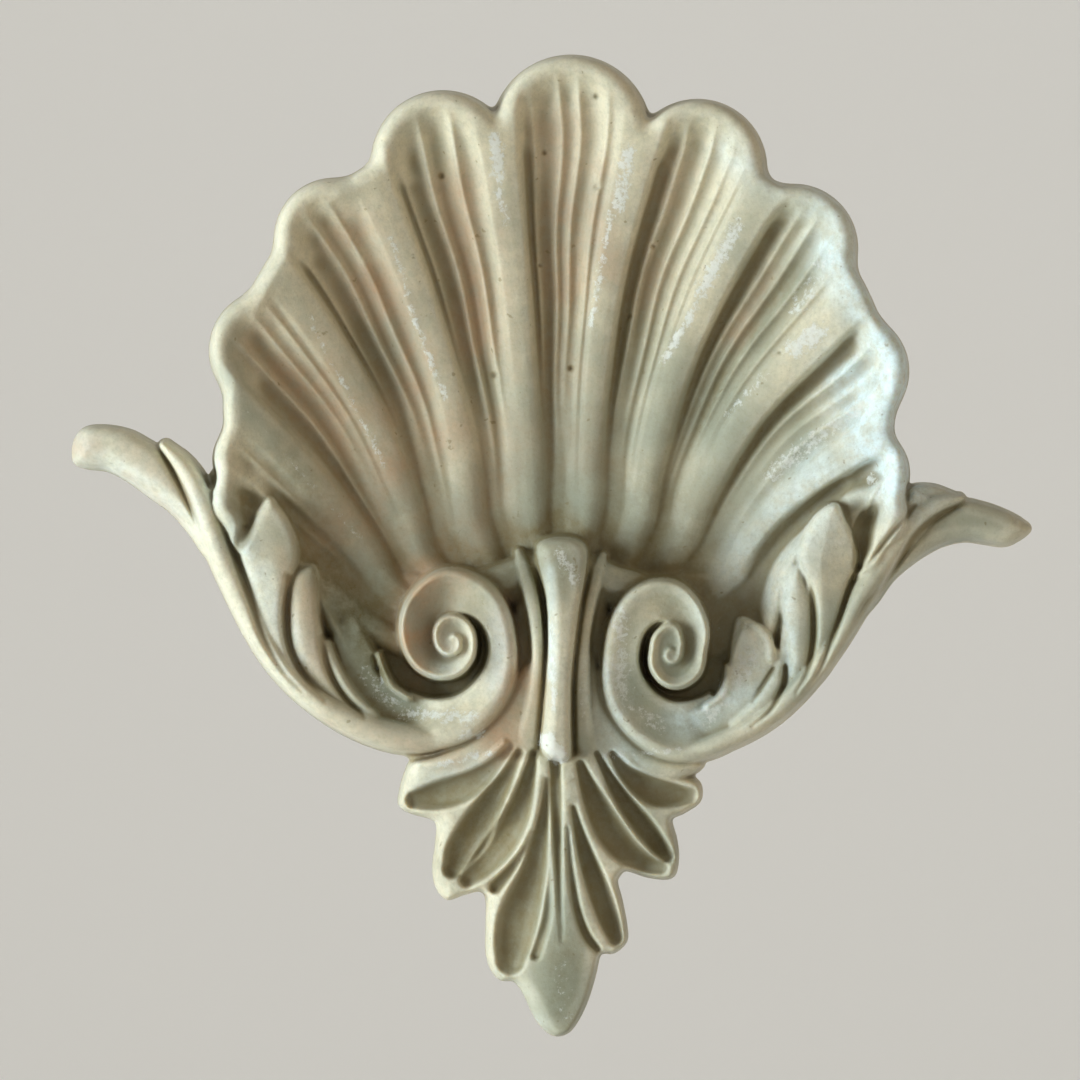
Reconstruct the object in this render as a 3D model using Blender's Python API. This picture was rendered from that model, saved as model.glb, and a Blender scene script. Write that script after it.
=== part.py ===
"""A cast shell onlay for furniture: a scallop shell held by two acanthus arms that curl into
volutes, a stem between them and a hanging palmette. One casting with a flat back.

It stands upright with its front towards -Y. The origin is on the flat back, behind the stem.
"""

import bmesh
import bpy
import numpy as np
from mathutils import Vector

for obj in list(bpy.data.objects):
    bpy.data.objects.remove(obj, do_unlink=True)

# Driving sizes, in metres. Heights are measured forward from the flat back.
ONLAY_WIDTH = 0.110
RIM_HEIGHT = 0.0125
FLOOR_HEIGHT = 0.0040
WEB_HEIGHT = 0.0048
BED_HEIGHT = 0.0094
ARM_HEIGHT = 0.0110
LEAF_HEIGHT = 0.0132
VOLUTE_HEIGHT = 0.0135
STEM_HEIGHT = 0.0150
PALMETTE_HEIGHT = 0.0108

FLUTE_DEPTH = 0.0019
PALMETTE_HOLLOW = 0.0017
VOLUTE_DROP = 0.0070
POCKET_DEPTH = 0.0040
LEAF_CREASE = 0.0009
STEM_CREASE = 0.0009
EDGE_ROUND = 0.0011
THIN_EDGE_ROUND = 0.0006
RIM_ROUND = 0.0018

# How far the palmette falls back for each unit down from the stem, and for each unit outwards.
PALMETTE_FALL = 0.16
PALMETTE_SIDE_FALL = 0.18

# Rise of a side wall for each unit outwards, and how softly two forms run into each other.
WALL_SLOPE = 16.0
BLEND = 0.00025

GRID_STEP = 0.0004
TRIANGLES = 9500

# The ornament is a free form. It is drawn in 110ths of the width: x to the right and z up from
# the origin, then half-widths. A height in a row is a share of the height that its form is given.
UNIT = ONLAY_WIDTH / 110


def soft_max(a, b, blend=BLEND):
    """The higher of two surfaces, with a small fillet where they meet."""
    share = np.clip(0.5 + 0.5 * (a - b) / blend, 0, 1)
    return b + (a - b) * share + blend * share * (1 - share)


def ramp(value, start, end):
    """A smooth rise from 0 to 1 between two values."""
    t = np.clip((value - start) / (end - start), 0, 1)
    return t * t * (3 - 2 * t)


def smooth_rows(rows, count):
    """A Catmull-Rom line through the rows."""
    rows = np.array(rows, float)
    ends = np.vstack([2 * rows[0] - rows[1], rows, 2 * rows[-1] - rows[-2]])
    place = np.linspace(0, len(rows) - 1, count)
    i = np.minimum(place.astype(int), len(rows) - 2)
    t = (place - i)[:, None]
    a, b, c, d = ends[i], ends[i + 1], ends[i + 2], ends[i + 3]
    cubic = (3 * b - a - 3 * c + d) * t**3 + (2 * a - 5 * b + 4 * c - d) * t**2
    return 0.5 * (2 * b + (c - a) * t + cubic)


def offset_from(line, x, z):
    """For each point: its place along the line, its distance and how far it is to the left."""
    nearest = np.full(x.shape, 1e9)
    place = np.zeros(x.shape)
    left = np.zeros(x.shape)
    for i in range(len(line) - 1):
        ax, az = line[i, :2]
        dx, dz = line[i + 1, :2] - line[i, :2]
        length = np.hypot(dx, dz)
        t = np.clip(((x - ax) * dx + (z - az) * dz) / length**2, 0, 1)
        qx = x - ax - t * dx
        qz = z - az - t * dz
        off = np.hypot(qx, qz)
        closer = off < nearest
        nearest = np.where(closer, off, nearest)
        place = np.where(closer, i + t, place)
        left = np.where(closer, (dx * qz - dz * qx) / length, left)
    return place, nearest, left


def closed_curve(corners, steps=5):
    # a smooth closed line through the corners
    line = []
    count = len(corners)
    t = (np.arange(steps) / steps)[:, None]
    for i in range(count):
        a, b, c, d = (corners[(i + k) % count] for k in (-1, 0, 1, 2))
        cubic = (3 * b - a - 3 * c + d) * t**3 + (2 * a - 5 * b + 4 * c - d) * t**2
        line.append(0.5 * (2 * b + (c - a) * t + cubic))
    line = np.concatenate(line)
    return np.vstack([line, line[:1]])


def inside_of(line, x, z):
    # how far inside a closed line each point lies, negative outside
    off = offset_from(line, x, z)[1]
    within = np.zeros(x.shape, bool)
    for (ax, az), (bx, bz) in zip(line[:-1], line[1:]):
        if az != bz:
            within ^= ((az > z) != (bz > z)) & (x < ax + (bx - ax) * (z - az) / (bz - az))
    return np.where(within, off, -off)


def walled(inside, surface, rounding):
    """Rounds a surface over at its edge and drops a steep wall outside it."""
    d = np.clip(inside, 0, rounding)
    fall = rounding - np.sqrt(np.maximum(rounding**2 - (rounding - d) ** 2, 0))
    return surface - fall - WALL_SLOPE * np.maximum(-inside, 0)


class Relief:
    """The height of the front above the flat back, on a grid of x and z."""

    def __init__(self, x, z):
        self.x = x
        self.z = z
        self.height = np.full(x.shape, -1.0)

    def window(self, points, margin):
        low = points[:, :2].min(axis=0) - margin
        high = points[:, :2].max(axis=0) + margin
        columns = np.searchsorted(self.x[0], [low[0], high[0]])
        rows = np.searchsorted(self.z[:, 0], [low[1], high[1]])
        return slice(*rows), slice(*columns)

    def add(self, form, where=(slice(None), slice(None)), blend=BLEND):
        self.height[where] = soft_max(form, self.height[where], blend)

    def blade(self, rows, height, crown=0.0, hollow=0.0, border=0.4, midrib=0.0, tilt=0.0,
              rounding=EDGE_ROUND, lean=0.0, blend=BLEND):
        line = smooth_rows(rows, 36)
        line[:, :3] *= UNIT
        line[:, 2] = np.maximum(line[:, 2], 0.1 * UNIT)
        where = self.window(line, line[:, 2].max() + 2 * height / WALL_SLOPE + 0.001)
        x, z = self.x[where], self.z[where]
        place, off, left = offset_from(line, x, z)
        stations = np.arange(len(line))
        half = np.interp(place, stations, line[:, 2])
        inside = half - off
        across = np.clip(left / half, -1, 1)
        surface = np.interp(place, stations, line[:, 3]) * height
        surface = surface + crown * (1 - across**2) + tilt * across
        if hollow:
            rim = border * UNIT
            s = np.clip((inside - rim) / np.maximum(half - rim, 0.2 * UNIT), 0, 1)
            depth = hollow * (half / line[:, 2].max()) ** 0.7
            surface = surface - depth * (1 - (1 - s) ** 2)
            surface = surface + midrib * depth * np.maximum(1 - np.abs(across) / 0.22, 0) ** 0.8
        rounding = np.minimum(rounding, 0.9 * half)
        if lean:
            # The left edge of a leaning form is rounder than its right edge.
            facing = np.gradient(inside, x[0], axis=1)
            rounding = np.minimum(rounding * (1 + lean * np.clip(facing, -0.6, 1)), 0.95 * half)
        self.add(walled(inside, surface, rounding), where, blend)

    def plate(self, corners, height, rounding=EDGE_ROUND, blend=BLEND):
        line = np.array([*corners, corners[0]], float) * UNIT
        where = self.window(line, 2 * height / WALL_SLOPE + 0.001)
        x, z = self.x[where], self.z[where]
        off = offset_from(line, x, z)[1]
        within = np.zeros(x.shape, bool)
        for (ax, az), (bx, bz) in zip(line[:-1], line[1:]):
            if az != bz:
                within ^= ((az > z) != (bz > z)) & (x < ax + (bx - ax) * (z - az) / (bz - az))
        self.add(walled(np.where(within, off, -off), height, rounding), where, blend)

    def panel(self, corners, height, slope=(0.0, 0.0), ridge=None, fall=0.0, rounding=EDGE_ROUND,
              lean=0.0, crown=0.0, blend=BLEND):
        # a form inside a smooth closed outline; its face may slope, be crowned, or fall off a ridge
        corners = np.array(corners, float)
        line = closed_curve(corners) * UNIT
        where = self.window(line, 2 * height / WALL_SLOPE + 0.001)
        x, z = self.x[where], self.z[where]
        inside = inside_of(line, x, z)
        middle = corners.mean(axis=0) * UNIT
        surface = height + slope[0] * (x - middle[0]) + slope[1] * (z - middle[1])
        if ridge:
            surface = surface - fall * offset_from(smooth_rows(ridge, 12) * UNIT, x, z)[1]
        if crown:
            reach = max(inside.max(), 1e-4)
            surface = surface - crown * np.clip(1 - inside / reach, 0, 1) ** 2
        if lean:
            # the left edge of a leaning form is rounder than its right edge
            facing = np.gradient(inside, x[0], axis=1)
            rounding = rounding * (1 + lean * np.clip(facing, -0.6, 1))
        self.add(walled(inside, surface, rounding), where, blend)

    def mound(self, rows, height, blend=0.0005):
        # a soft swell along a line of rows: x, z, half-width and share of the height
        line = smooth_rows(rows, 36)
        line[:, :3] *= UNIT
        where = self.window(line, line[:, 2].max() + 0.001)
        place, off, _ = offset_from(line, self.x[where], self.z[where])
        stations = np.arange(len(line))
        half = np.interp(place, stations, line[:, 2])
        crest = np.interp(place, stations, line[:, 3]) * height
        swell = crest * ramp(1 - off / half, -0.02, 1.0) - 0.0002
        self.add(np.where(self.height[where] > 0, swell, -1.0), where, blend)

    def groove(self, rows, depth, power=2.0):
        # a cut along a line of rows: x, z, half-width and share of the depth
        line = smooth_rows(rows, 36)
        line[:, :3] *= UNIT
        where = self.window(line, line[:, 2].max() + 0.001)
        place, off, _ = offset_from(line, self.x[where], self.z[where])
        stations = np.arange(len(line))
        half = np.maximum(np.interp(place, stations, line[:, 2]), 0.05 * UNIT)
        cut = np.interp(place, stations, line[:, 3]) * depth * np.maximum(1 - (off / half) ** power, 0)
        self.height[where] -= cut


# Shell. The flutes fan out from a pole below the stem, between raised ribbons.
POLE = (0.35, -10.0)
# The angle of each ribbon, at four distances from the pole. They bend on their way down.
RIBBON_REACH = (26, 32, 41, 53, 68)
RIBBON_ANGLES = (
    (-63, -61, -60, -60, -60),
    (-50.0, -47.3, -45.6, -45.4, -46.5),
    (-39.6, -35.2, -32.0, -31.7, -33.0),
    (-24.0, -20.9, -19.0, -18.8, -19.5),
    (-8.4, -7.1, -6.6, -6.4, -6.7),
    (6.2, 5.3, 5.1, 5.7, 7.4),
    (20.8, 18.2, 17.3, 18.2, 20.5),
    (32.6, 30.4, 30.2, 32.8, 35.5),
    (47.3, 44.8, 44.8, 48.0, 50.0),
    (62, 61, 60, 61, 62),
)
RIBBON_LINES = [smooth_rows(list(zip(RIBBON_REACH, row)), 60) for row in RIBBON_ANGLES]
RIBBON_SHARE_AT_RIM = 0.27
RIBBON_SHARE_AT_POLE = 0.34
# The outline: an ellipse, then a round lobe at the end of each flute. Rows: x, z, radius.
BODY = (-0.3, 27.0, 37.9, 33.0)
LOBES = (
    (-35.4, 20.8, 4.0), (-33.7, 33.4, 6.1), (-26.2, 46.3, 6.1), (-13.7, 55.1, 7.4),
    (1.1, 58.2, 8.4), (15.7, 54.4, 7.1), (26.8, 45.2, 6.5), (33.2, 31.0, 6.0),
    (34.6, 19.2, 4.7), (34.9, 14.6, 4.3), (33.2, 10.6, 3.4), (-35.7, 16.2, 3.9),
    (-34.9, 12.6, 3.0),
)
# How far in from the outline the flutes reach their depth, and how late the bowl rises.
LIP_WIDTH = 6.0
BOWL_STEEPNESS = 2.8
# The bowl: ellipses that shrink from the rim towards the deepest point.
BOWL = (0.1, 22.0, 38.3, 39.0)
DEEPEST = (0.0, -2.0)


def shell_outline(x, z):
    # how far inside the shell's outline a point lies, in drawn units
    cx, cz, a, b = BODY
    ring = np.hypot((x - cx) / a, (z - cz) / b)
    steepness = np.hypot((x - cx) / a**2, (z - cz) / b**2) / np.maximum(ring, 1e-6)
    inside = np.minimum((1 - ring) / np.maximum(steepness, 1e-3), 15)
    for lobe_x, lobe_z, radius in LOBES:
        inside = soft_max(radius - np.hypot(x - lobe_x, z - lobe_z), inside, 1.1)
    return inside + 0.3


def shell_bowl(x, z):
    # the hollow of the shell, without its flutes
    cx, cz, a, b = BOWL
    dx, dz = x - DEEPEST[0], z - DEEPEST[1]
    ex, ez = cx - DEEPEST[0], cz - DEEPEST[1]
    qa = (ex / a) ** 2 + (ez / b) ** 2 - 1
    qb = -2 * (dx * ex / a**2 + dz * ez / b**2)
    qc = (dx / a) ** 2 + (dz / b) ** 2
    ring = (-qb - np.sqrt(np.maximum(qb**2 - 4 * qa * qc, 0))) / (2 * qa)
    rise = np.clip(ring, 0, 1.15) ** BOWL_STEEPNESS
    rise = np.minimum(rise, 1 + 0.2 * (rise - 1))
    return FLOOR_HEIGHT + (RIM_HEIGHT - FLOOR_HEIGHT) * rise


def flute_of(x, z):
    # which flute a point lies in, and how far across it, from 0 to 1
    across, up = x - POLE[0], z - POLE[1]
    reach = np.hypot(across, up)
    angle = np.degrees(np.arctan2(across, up))
    bent = [np.interp(reach, line[:, 0], line[:, 1]) for line in RIBBON_LINES]
    number = np.zeros(x.shape, int)
    share = np.zeros(x.shape)
    for i in range(len(bent) - 1):
        here = (angle >= bent[i]) if i else np.ones(x.shape, bool)
        number = np.where(here, i, number)
        share = np.where(here, (angle - bent[i]) / (bent[i + 1] - bent[i]), share)
    return number, np.clip(share, 0, 1), reach


def carve_shell(relief):
    x, z = relief.x / UNIT, relief.z / UNIT
    inside = shell_outline(x, z)
    number, u, reach = flute_of(x, z)
    near_rim = ramp(reach, 15, 60)
    half = 0.5 * (RIBBON_SHARE_AT_POLE + (RIBBON_SHARE_AT_RIM - RIBBON_SHARE_AT_POLE) * near_rim)
    v = np.clip((u - half) / (1 - 2 * half), 0, 1)
    # each flute drops beside the ribbon on its left and climbs gently to the next one
    soft = 1 - ramp(reach, 24, 52)
    hollow = ramp(v, 0, 0.12 + 0.4 * soft) * ramp(1 - v, -0.05, 0.55 + 0.2 * soft) * (1.1 - 0.25 * v)
    ribbon = np.maximum(1 - (np.minimum(u, 1 - u) / half) ** 2, 0)
    lip = ramp(inside, 0.2, LIP_WIDTH)
    surface = shell_bowl(x, z)
    flute = lip * FLUTE_DEPTH * (0.35 + 0.65 * near_rim) * hollow
    surface = surface - flute
    surface = surface + lip * 0.18 * FLUTE_DEPTH * ribbon
    relief.add(walled(inside * UNIT, surface, RIM_ROUND))


def carve_folds(relief):
    # the lowest flutes fold over themselves above the arms' leaves
    for rows in (
        ((38.0, 22.4, 0.8, 0.94), (34.5, 21.2, 1.5, 0.84), (30.5, 19.2, 1.7, 0.71),
         (26.5, 16.0, 1.8, 0.57), (23.0, 12.4, 1.7, 0.47), (20.4, 8.8, 1.4, 0.39)),
        ((-39.0, 21.8, 0.7, 0.90), (-36.6, 20.6, 1.2, 0.81), (-33.8, 18.4, 1.4, 0.68),
         (-30.0, 14.8, 1.4, 0.53), (-26.0, 10.4, 1.2, 0.41)),
    ):
        relief.mound(rows, RIM_HEIGHT)
    for rows in (
        ((36.2, 18.6, 1.1, 0.15), (31.5, 17.2, 1.5, 0.24), (27.0, 14.2, 1.5, 0.24),
         (23.6, 10.6, 1.4, 0.2), (21.0, 7.0, 0.8, 0.0)),
        ((-37.6, 18.4, 1.3, 0.2), (-36.2, 16.6, 2.0, 0.45), (-35.4, 14.0, 2.0, 0.5),
         (-36.6, 11.0, 1.2, 0.3)),
        ((35.8, 15.4, 1.0, 0.2), (34.6, 13.0, 1.7, 0.6), (34.2, 10.8, 1.5, 0.6), (33.6, 8.6, 0.8, 0.4)),
    ):
        relief.groove(rows, POCKET_DEPTH)


# Volutes. Each is a spiral of ridges, and each ridge falls inwards to the foot of the next.
# Rows: angle, outer edge, width of the band, fall across it, width of its flat rim.
LEFT_VOLUTE = (-12.67, 0.23)
LEFT_SPIRAL = (
    (-128, 14.8, 7.0, 1.4, 2.4), (-90, 12.4, 5.4, 1.4, 2.4), (-50, 9.7, 4.2, 0.9, 1.6),
    (0, 7.4, 3.0, 0.4, 1.1), (60, 7.7, 4.2, 1.1, 0.9), (95, 7.9, 4.8, 2.2, 0.7),
    (130, 6.9, 4.5, 2.9, 0.5), (180, 5.7, 3.5, 3.0, 0.5), (225, 5.2, 3.0, 2.6, 0.5),
    (270, 4.5, 2.4, 2.0, 0.5), (315, 3.5, 1.6, 1.5, 0.5), (360, 2.85, 1.5, 1.2, 0.45),
    (450, 2.8, 1.6, 1.1, 0.4), (540, 2.0, 1.2, 0.8, 0.3), (630, 2.0, 1.2, 0.7, 0.3),
    (720, 1.1, 0.9, 0.4, 0.3), (765, 0.75, 0.7, 0.2, 0.3), (810, 0.4, 0.4, 0.1, 0.2),
    (850, 0.1, 0.2, 0, 0.1),
)
RIGHT_VOLUTE = (12.79, -1.15)
RIGHT_SPIRAL = (
    (-132, 13.4, 6.8, 1.4, 0.9), (-90, 12.6, 6.6, 1.7, 1.3), (-50, 10.4, 5.5, 1.4, 1.0),
    (0, 8.0, 3.9, 0.8, 0.5), (60, 8.4, 4.4, 1.0, 0.5), (90, 7.9, 4.8, 1.5, 0.5),
    (113, 6.5, 4.0, 1.9, 0.5), (135, 5.2, 3.4, 2.0, 0.5), (180, 3.7, 2.4, 1.9, 0.4),
    (225, 4.1, 2.3, 1.6, 0.4), (270, 4.3, 2.0, 1.3, 0.4), (315, 3.5, 1.6, 1.0, 0.4),
    (360, 2.75, 1.3, 0.8, 0.4), (405, 3.0, 1.5, 0.9, 0.4), (450, 3.15, 1.7, 0.9, 0.4),
    (480, 1.9, 1.1, 0.7, 0.35), (510, 1.25, 0.9, 0.5, 0.3), (540, 1.05, 0.8, 0.4, 0.3),
    (585, 1.2, 0.8, 0.4, 0.3), (630, 1.6, 0.9, 0.4, 0.3), (675, 1.5, 0.9, 0.3, 0.3),
    (720, 1.0, 0.7, 0.2, 0.3), (765, 0.6, 0.5, 0.1, 0.2), (810, 0.2, 0.2, 0, 0.1),
)


def carve_volute(relief, centre, mirror, rows, first_share):
    where = relief.window(np.array([centre]) * UNIT, 18 * UNIT)
    x = (relief.x[where] / UNIT - centre[0]) * mirror
    z = relief.z[where] / UNIT - centre[1]
    reach = np.hypot(x, z)
    turn = np.degrees(np.arctan2(z, x)) % 360
    line = smooth_rows(rows, 400)
    order = np.argsort(line[:, 0])
    angles = line[order, 0]
    for k in range(-1, 3):
        angle = turn + 360 * k
        edge, band, fall, rim = (np.interp(angle, angles, line[order, i]) for i in range(1, 5))
        inside = edge - reach
        s = np.clip((inside - rim) / np.maximum(band - rim, 0.3), 0, 1)
        share = first_share + (1 - first_share) * ramp(angle, -150, 80)
        share = share - 0.16 * (1 - ramp(angle, rows[0][0], rows[0][0] + 34))
        drop = VOLUTE_DROP * (1 - ramp(angle, -20, 105)) * ramp(inside, band, band + 0.8)
        surface = share * VOLUTE_HEIGHT - fall * UNIT * (1 - (1 - s) ** 2) - drop
        rounding = THIN_EDGE_ROUND + (EDGE_ROUND * 1.2 - THIN_EDGE_ROUND) * (1 - ramp(angle, 20, 110))
        form = walled(inside * UNIT, surface, rounding)
        drawn = (angle >= rows[0][0]) & (angle <= rows[-1][0])
        relief.add(np.where(drawn, form, -1.0), where)



def carve_web(relief):
    # the thin body behind the arms and the palmette, and the bed of each arm's leaves
    relief.plate((
        (-39.8, 10.5), (-36.9, 4.5), (-33.9, -1), (-30.6, -5.4), (-25.8, -8.9), (-20, -11.9),
        (-17.4, -13.7), (-17.5, -16), (-14.2, -20.6), (-11, -24), (-8.6, -28.6), (-6.5, -34),
        (-4.5, -39), (4.0, -37), (5.8, -28.3), (7.3, -26.3), (12.0, -20.4), (15.2, -16),
        (15.3, -14.2), (20, -12.2), (25.2, -8.8), (29.6, -4.2), (32.9, 0.8), (35.6, 5.2),
        (38.2, 9), (41.8, 16.7), (39.0, 17.6), (36, 14), (28, 12), (22, 8), (-22, 8),
        (-30, 12), (-38, 18), (-41.2, 20.4), (-41, 14),
    ), WEB_HEIGHT)
    for rows in (
        ((-31.0, 11.0, 1.6, 0.62), (-28.6, 7.0, 2.8, 0.68), (-26.8, 3.0, 3.6, 0.74),
         (-24.6, -1.0, 3.0, 0.68)),
        ((31.4, 14.6, 2.4, 0.84), (28.2, 11.6, 3.6, 0.82), (25.8, 7.6, 4.8, 0.76),
         (24.4, 3.2, 4.8, 0.70), (23.4, -1.0, 3.6, 0.66)),
    ):
        relief.mound(rows, LEAF_HEIGHT, 0.0010)
    for corners in (
        ((-41.6, 19.4), (-40.9, 14.5), (-39.0, 9.8), (-36.6, 4.5), (-33.6, -1), (-30.1, -5.2),
         (-25.4, -8.5), (-20, -11.3), (-14, -12.1), (-9.5, -10.5), (-9, -8.4), (-12, -7.8),
         (-16, -7.9), (-18.9, -6.6), (-20.9, -3.6), (-22.6, 0.0), (-24.0, 2.2), (-25.9, 1.4),
         (-27.4, 0.6), (-28.1, 4), (-28.6, 7.9), (-30.6, 10), (-32.6, 14), (-35.6, 12.0),
         (-37.4, 11.6), (-38.6, 14), (-39.9, 18.5)),
        ((42.0, 16.4), (39.4, 11.6), (37.4, 8.2), (35.3, 5.2), (32.5, 0.8), (29.3, -4.2), (25.0, -8.4),
         (20, -11.7), (14, -12.9), (10, -12.3), (8, -9.8), (12, -8.2), (16, -7.8), (18.2, -6.3),
         (19.0, -4), (19.6, -1), (20.6, 1.6), (23.0, 1.2), (24.8, -1.0), (25.6, 4), (26.6, 7),
         (27.9, 12), (30.6, 15), (33.0, 10), (35.4, 10.2), (38.2, 14.2), (40.4, 17.2)),
    ):
        relief.plate(corners, BED_HEIGHT, THIN_EDGE_ROUND)


def carve_left_arm(relief):
    # the wing lobe, squared at its end, and the rib behind it that runs down as the arm's rim
    relief.panel((
        (-56.2, 20.7), (-56.1, 22.9), (-54.9, 24.3), (-52.6, 24.5), (-50, 24.0), (-48, 23.0),
        (-46.0, 21.6), (-44.4, 19.6), (-42.9, 17.4), (-41.5, 14.6), (-40.4, 11.6), (-39.4, 8.4),
        (-41.0, 9.8), (-42.8, 12.4), (-45.0, 14.9), (-47.2, 16.5), (-50, 18.5), (-52.4, 19.7),
        (-54.8, 20.0),
    ), 0.82 * ARM_HEIGHT, slope=(0.12, 0.02), rounding=0.0016, lean=0.3, crown=0.0008)
    relief.blade((
        (-45.7, 22.3, 0.5, 0.80), (-43.7, 20.2, 1.0, 0.88), (-42.1, 17.5, 1.3, 0.94),
        (-40.6, 14, 1.4, 0.98), (-39.2, 10, 1.4, 1.0), (-37.4, 6, 1.4, 1.0),
        (-35.5, 2, 1.3, 1.0), (-33.4, -1.7, 1.2, 1.0), (-30.7, -4.9, 1.2, 1.0),
        (-27.3, -7.6, 1.3, 1.0), (-23.5, -9.6, 1.55, 1.0), (-19.5, -10.9, 1.7, 1.0),
        (-16, -11.4, 1.5, 0.98), (-13, -11.0, 1.2, 0.92),
    ), ARM_HEIGHT, crown=0.0005, rounding=0.0016, blend=0.0004)
    # the three large leaves, from the outside in
    relief.panel((
        (-33.8, 16.3), (-32.4, 15.2), (-31.2, 13.4), (-30.4, 11.4), (-30.2, 9.4), (-30.9, 7.4),
        (-31.5, 5.0), (-31.6, 2.2), (-31.2, -0.6), (-30.0, -3.4), (-28.6, -5.6), (-30.4, -5.0),
        (-32.3, -2.8), (-33.9, 0.4), (-35.1, 4.0), (-36.2, 7.6), (-36.8, 10.2), (-35.9, 12.6),
    ), 0.856 * LEAF_HEIGHT, slope=(-0.05, 0.11), fall=0.14,
        ridge=((-36.5, 10.4), (-32.8, 8.4), (-32.9, 2), (-31, -3.6)),
        rounding=0.0010, lean=0.3, blend=0.0005)
    relief.panel((
        (-30.4, 8.0), (-29.4, 8.6), (-28.3, 8.6), (-28.0, 7.0), (-27.9, 3.6), (-27.5, 0.4),
        (-26.7, -2.6), (-25.2, -5.4), (-23.0, -7.8), (-21.4, -9.4), (-24.4, -8.6), (-27.6, -6.0),
        (-29.5, -3.4), (-30.8, -1.0), (-31.3, 1.6), (-31.4, 4.6), (-31.1, 6.8),
    ), 0.78 * LEAF_HEIGHT, slope=(-0.08, 0.03), rounding=0.0010, lean=0.3, crown=0.0004, blend=0.0005)
    # the powdery channel that carries on into the volute, and the thin leaf along it
    relief.panel((
        (-24.2, 3.0), (-25.3, 2.3), (-26.2, 1.0), (-26.3, -0.7), (-25.4, -3.2), (-24.2, -5.4),
        (-22.6, -7.6), (-20.6, -9.6), (-18.4, -10.8), (-15.2, -11.0), (-14.6, -9.0), (-15.2, -7.6),
        (-17.2, -6.6), (-18.8, -5.2), (-19.9, -3.6), (-20.7, -2.2), (-21.6, -0.8), (-22.6, 0.8),
        (-23.4, 2.4),
    ), 0.667 * LEAF_HEIGHT, slope=(-0.06, -0.20), rounding=0.0006, blend=0.0006)
    relief.blade((
        (-26.8, -0.1, 0.25, 0.64), (-26.2, -2.2, 0.5, 0.70), (-25.1, -4.5, 0.6, 0.74),
        (-23.5, -6.7, 0.6, 0.76), (-21.4, -8.7, 0.5, 0.77),
    ), LEAF_HEIGHT, rounding=THIN_EDGE_ROUND, blend=0.0004)
    # the creases that part the leaves
    for rows in (
        ((-46.3, 22.0, 0.4, 0.5), (-44.4, 19.0, 0.5, 0.7), (-42.4, 15.2, 0.5, 0.6),
         (-40.6, 10.4, 0.4, 0.2)),
        ((-38.3, 12.2, 0.4, 0.3), (-37.6, 9.6, 0.5, 0.6), (-37.0, 7.6, 0.45, 0.7),
         (-35.7, 4.4, 0.45, 0.8), (-34.3, 0.6, 0.5, 0.8), (-32.0, -3.4, 0.4, 0.4),
         (-29.6, -6.0, 0.3, 0.2)),
        ((-31.3, 7.4, 0.5, 0.8), (-31.7, 3.0, 0.6, 1.1), (-31.3, -0.8, 0.5, 1.0),
         (-29.4, -4.4, 0.4, 0.7), (-27.0, -7.0, 0.3, 0.3)),
        ((-27.6, 0.4, 0.5, 0.7), (-26.9, -3.0, 0.45, 1.0), (-25.3, -6.0, 0.4, 1.0),
         (-22.6, -8.8, 0.3, 0.5)),
    ):
        relief.groove(rows, LEAF_CREASE)


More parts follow.
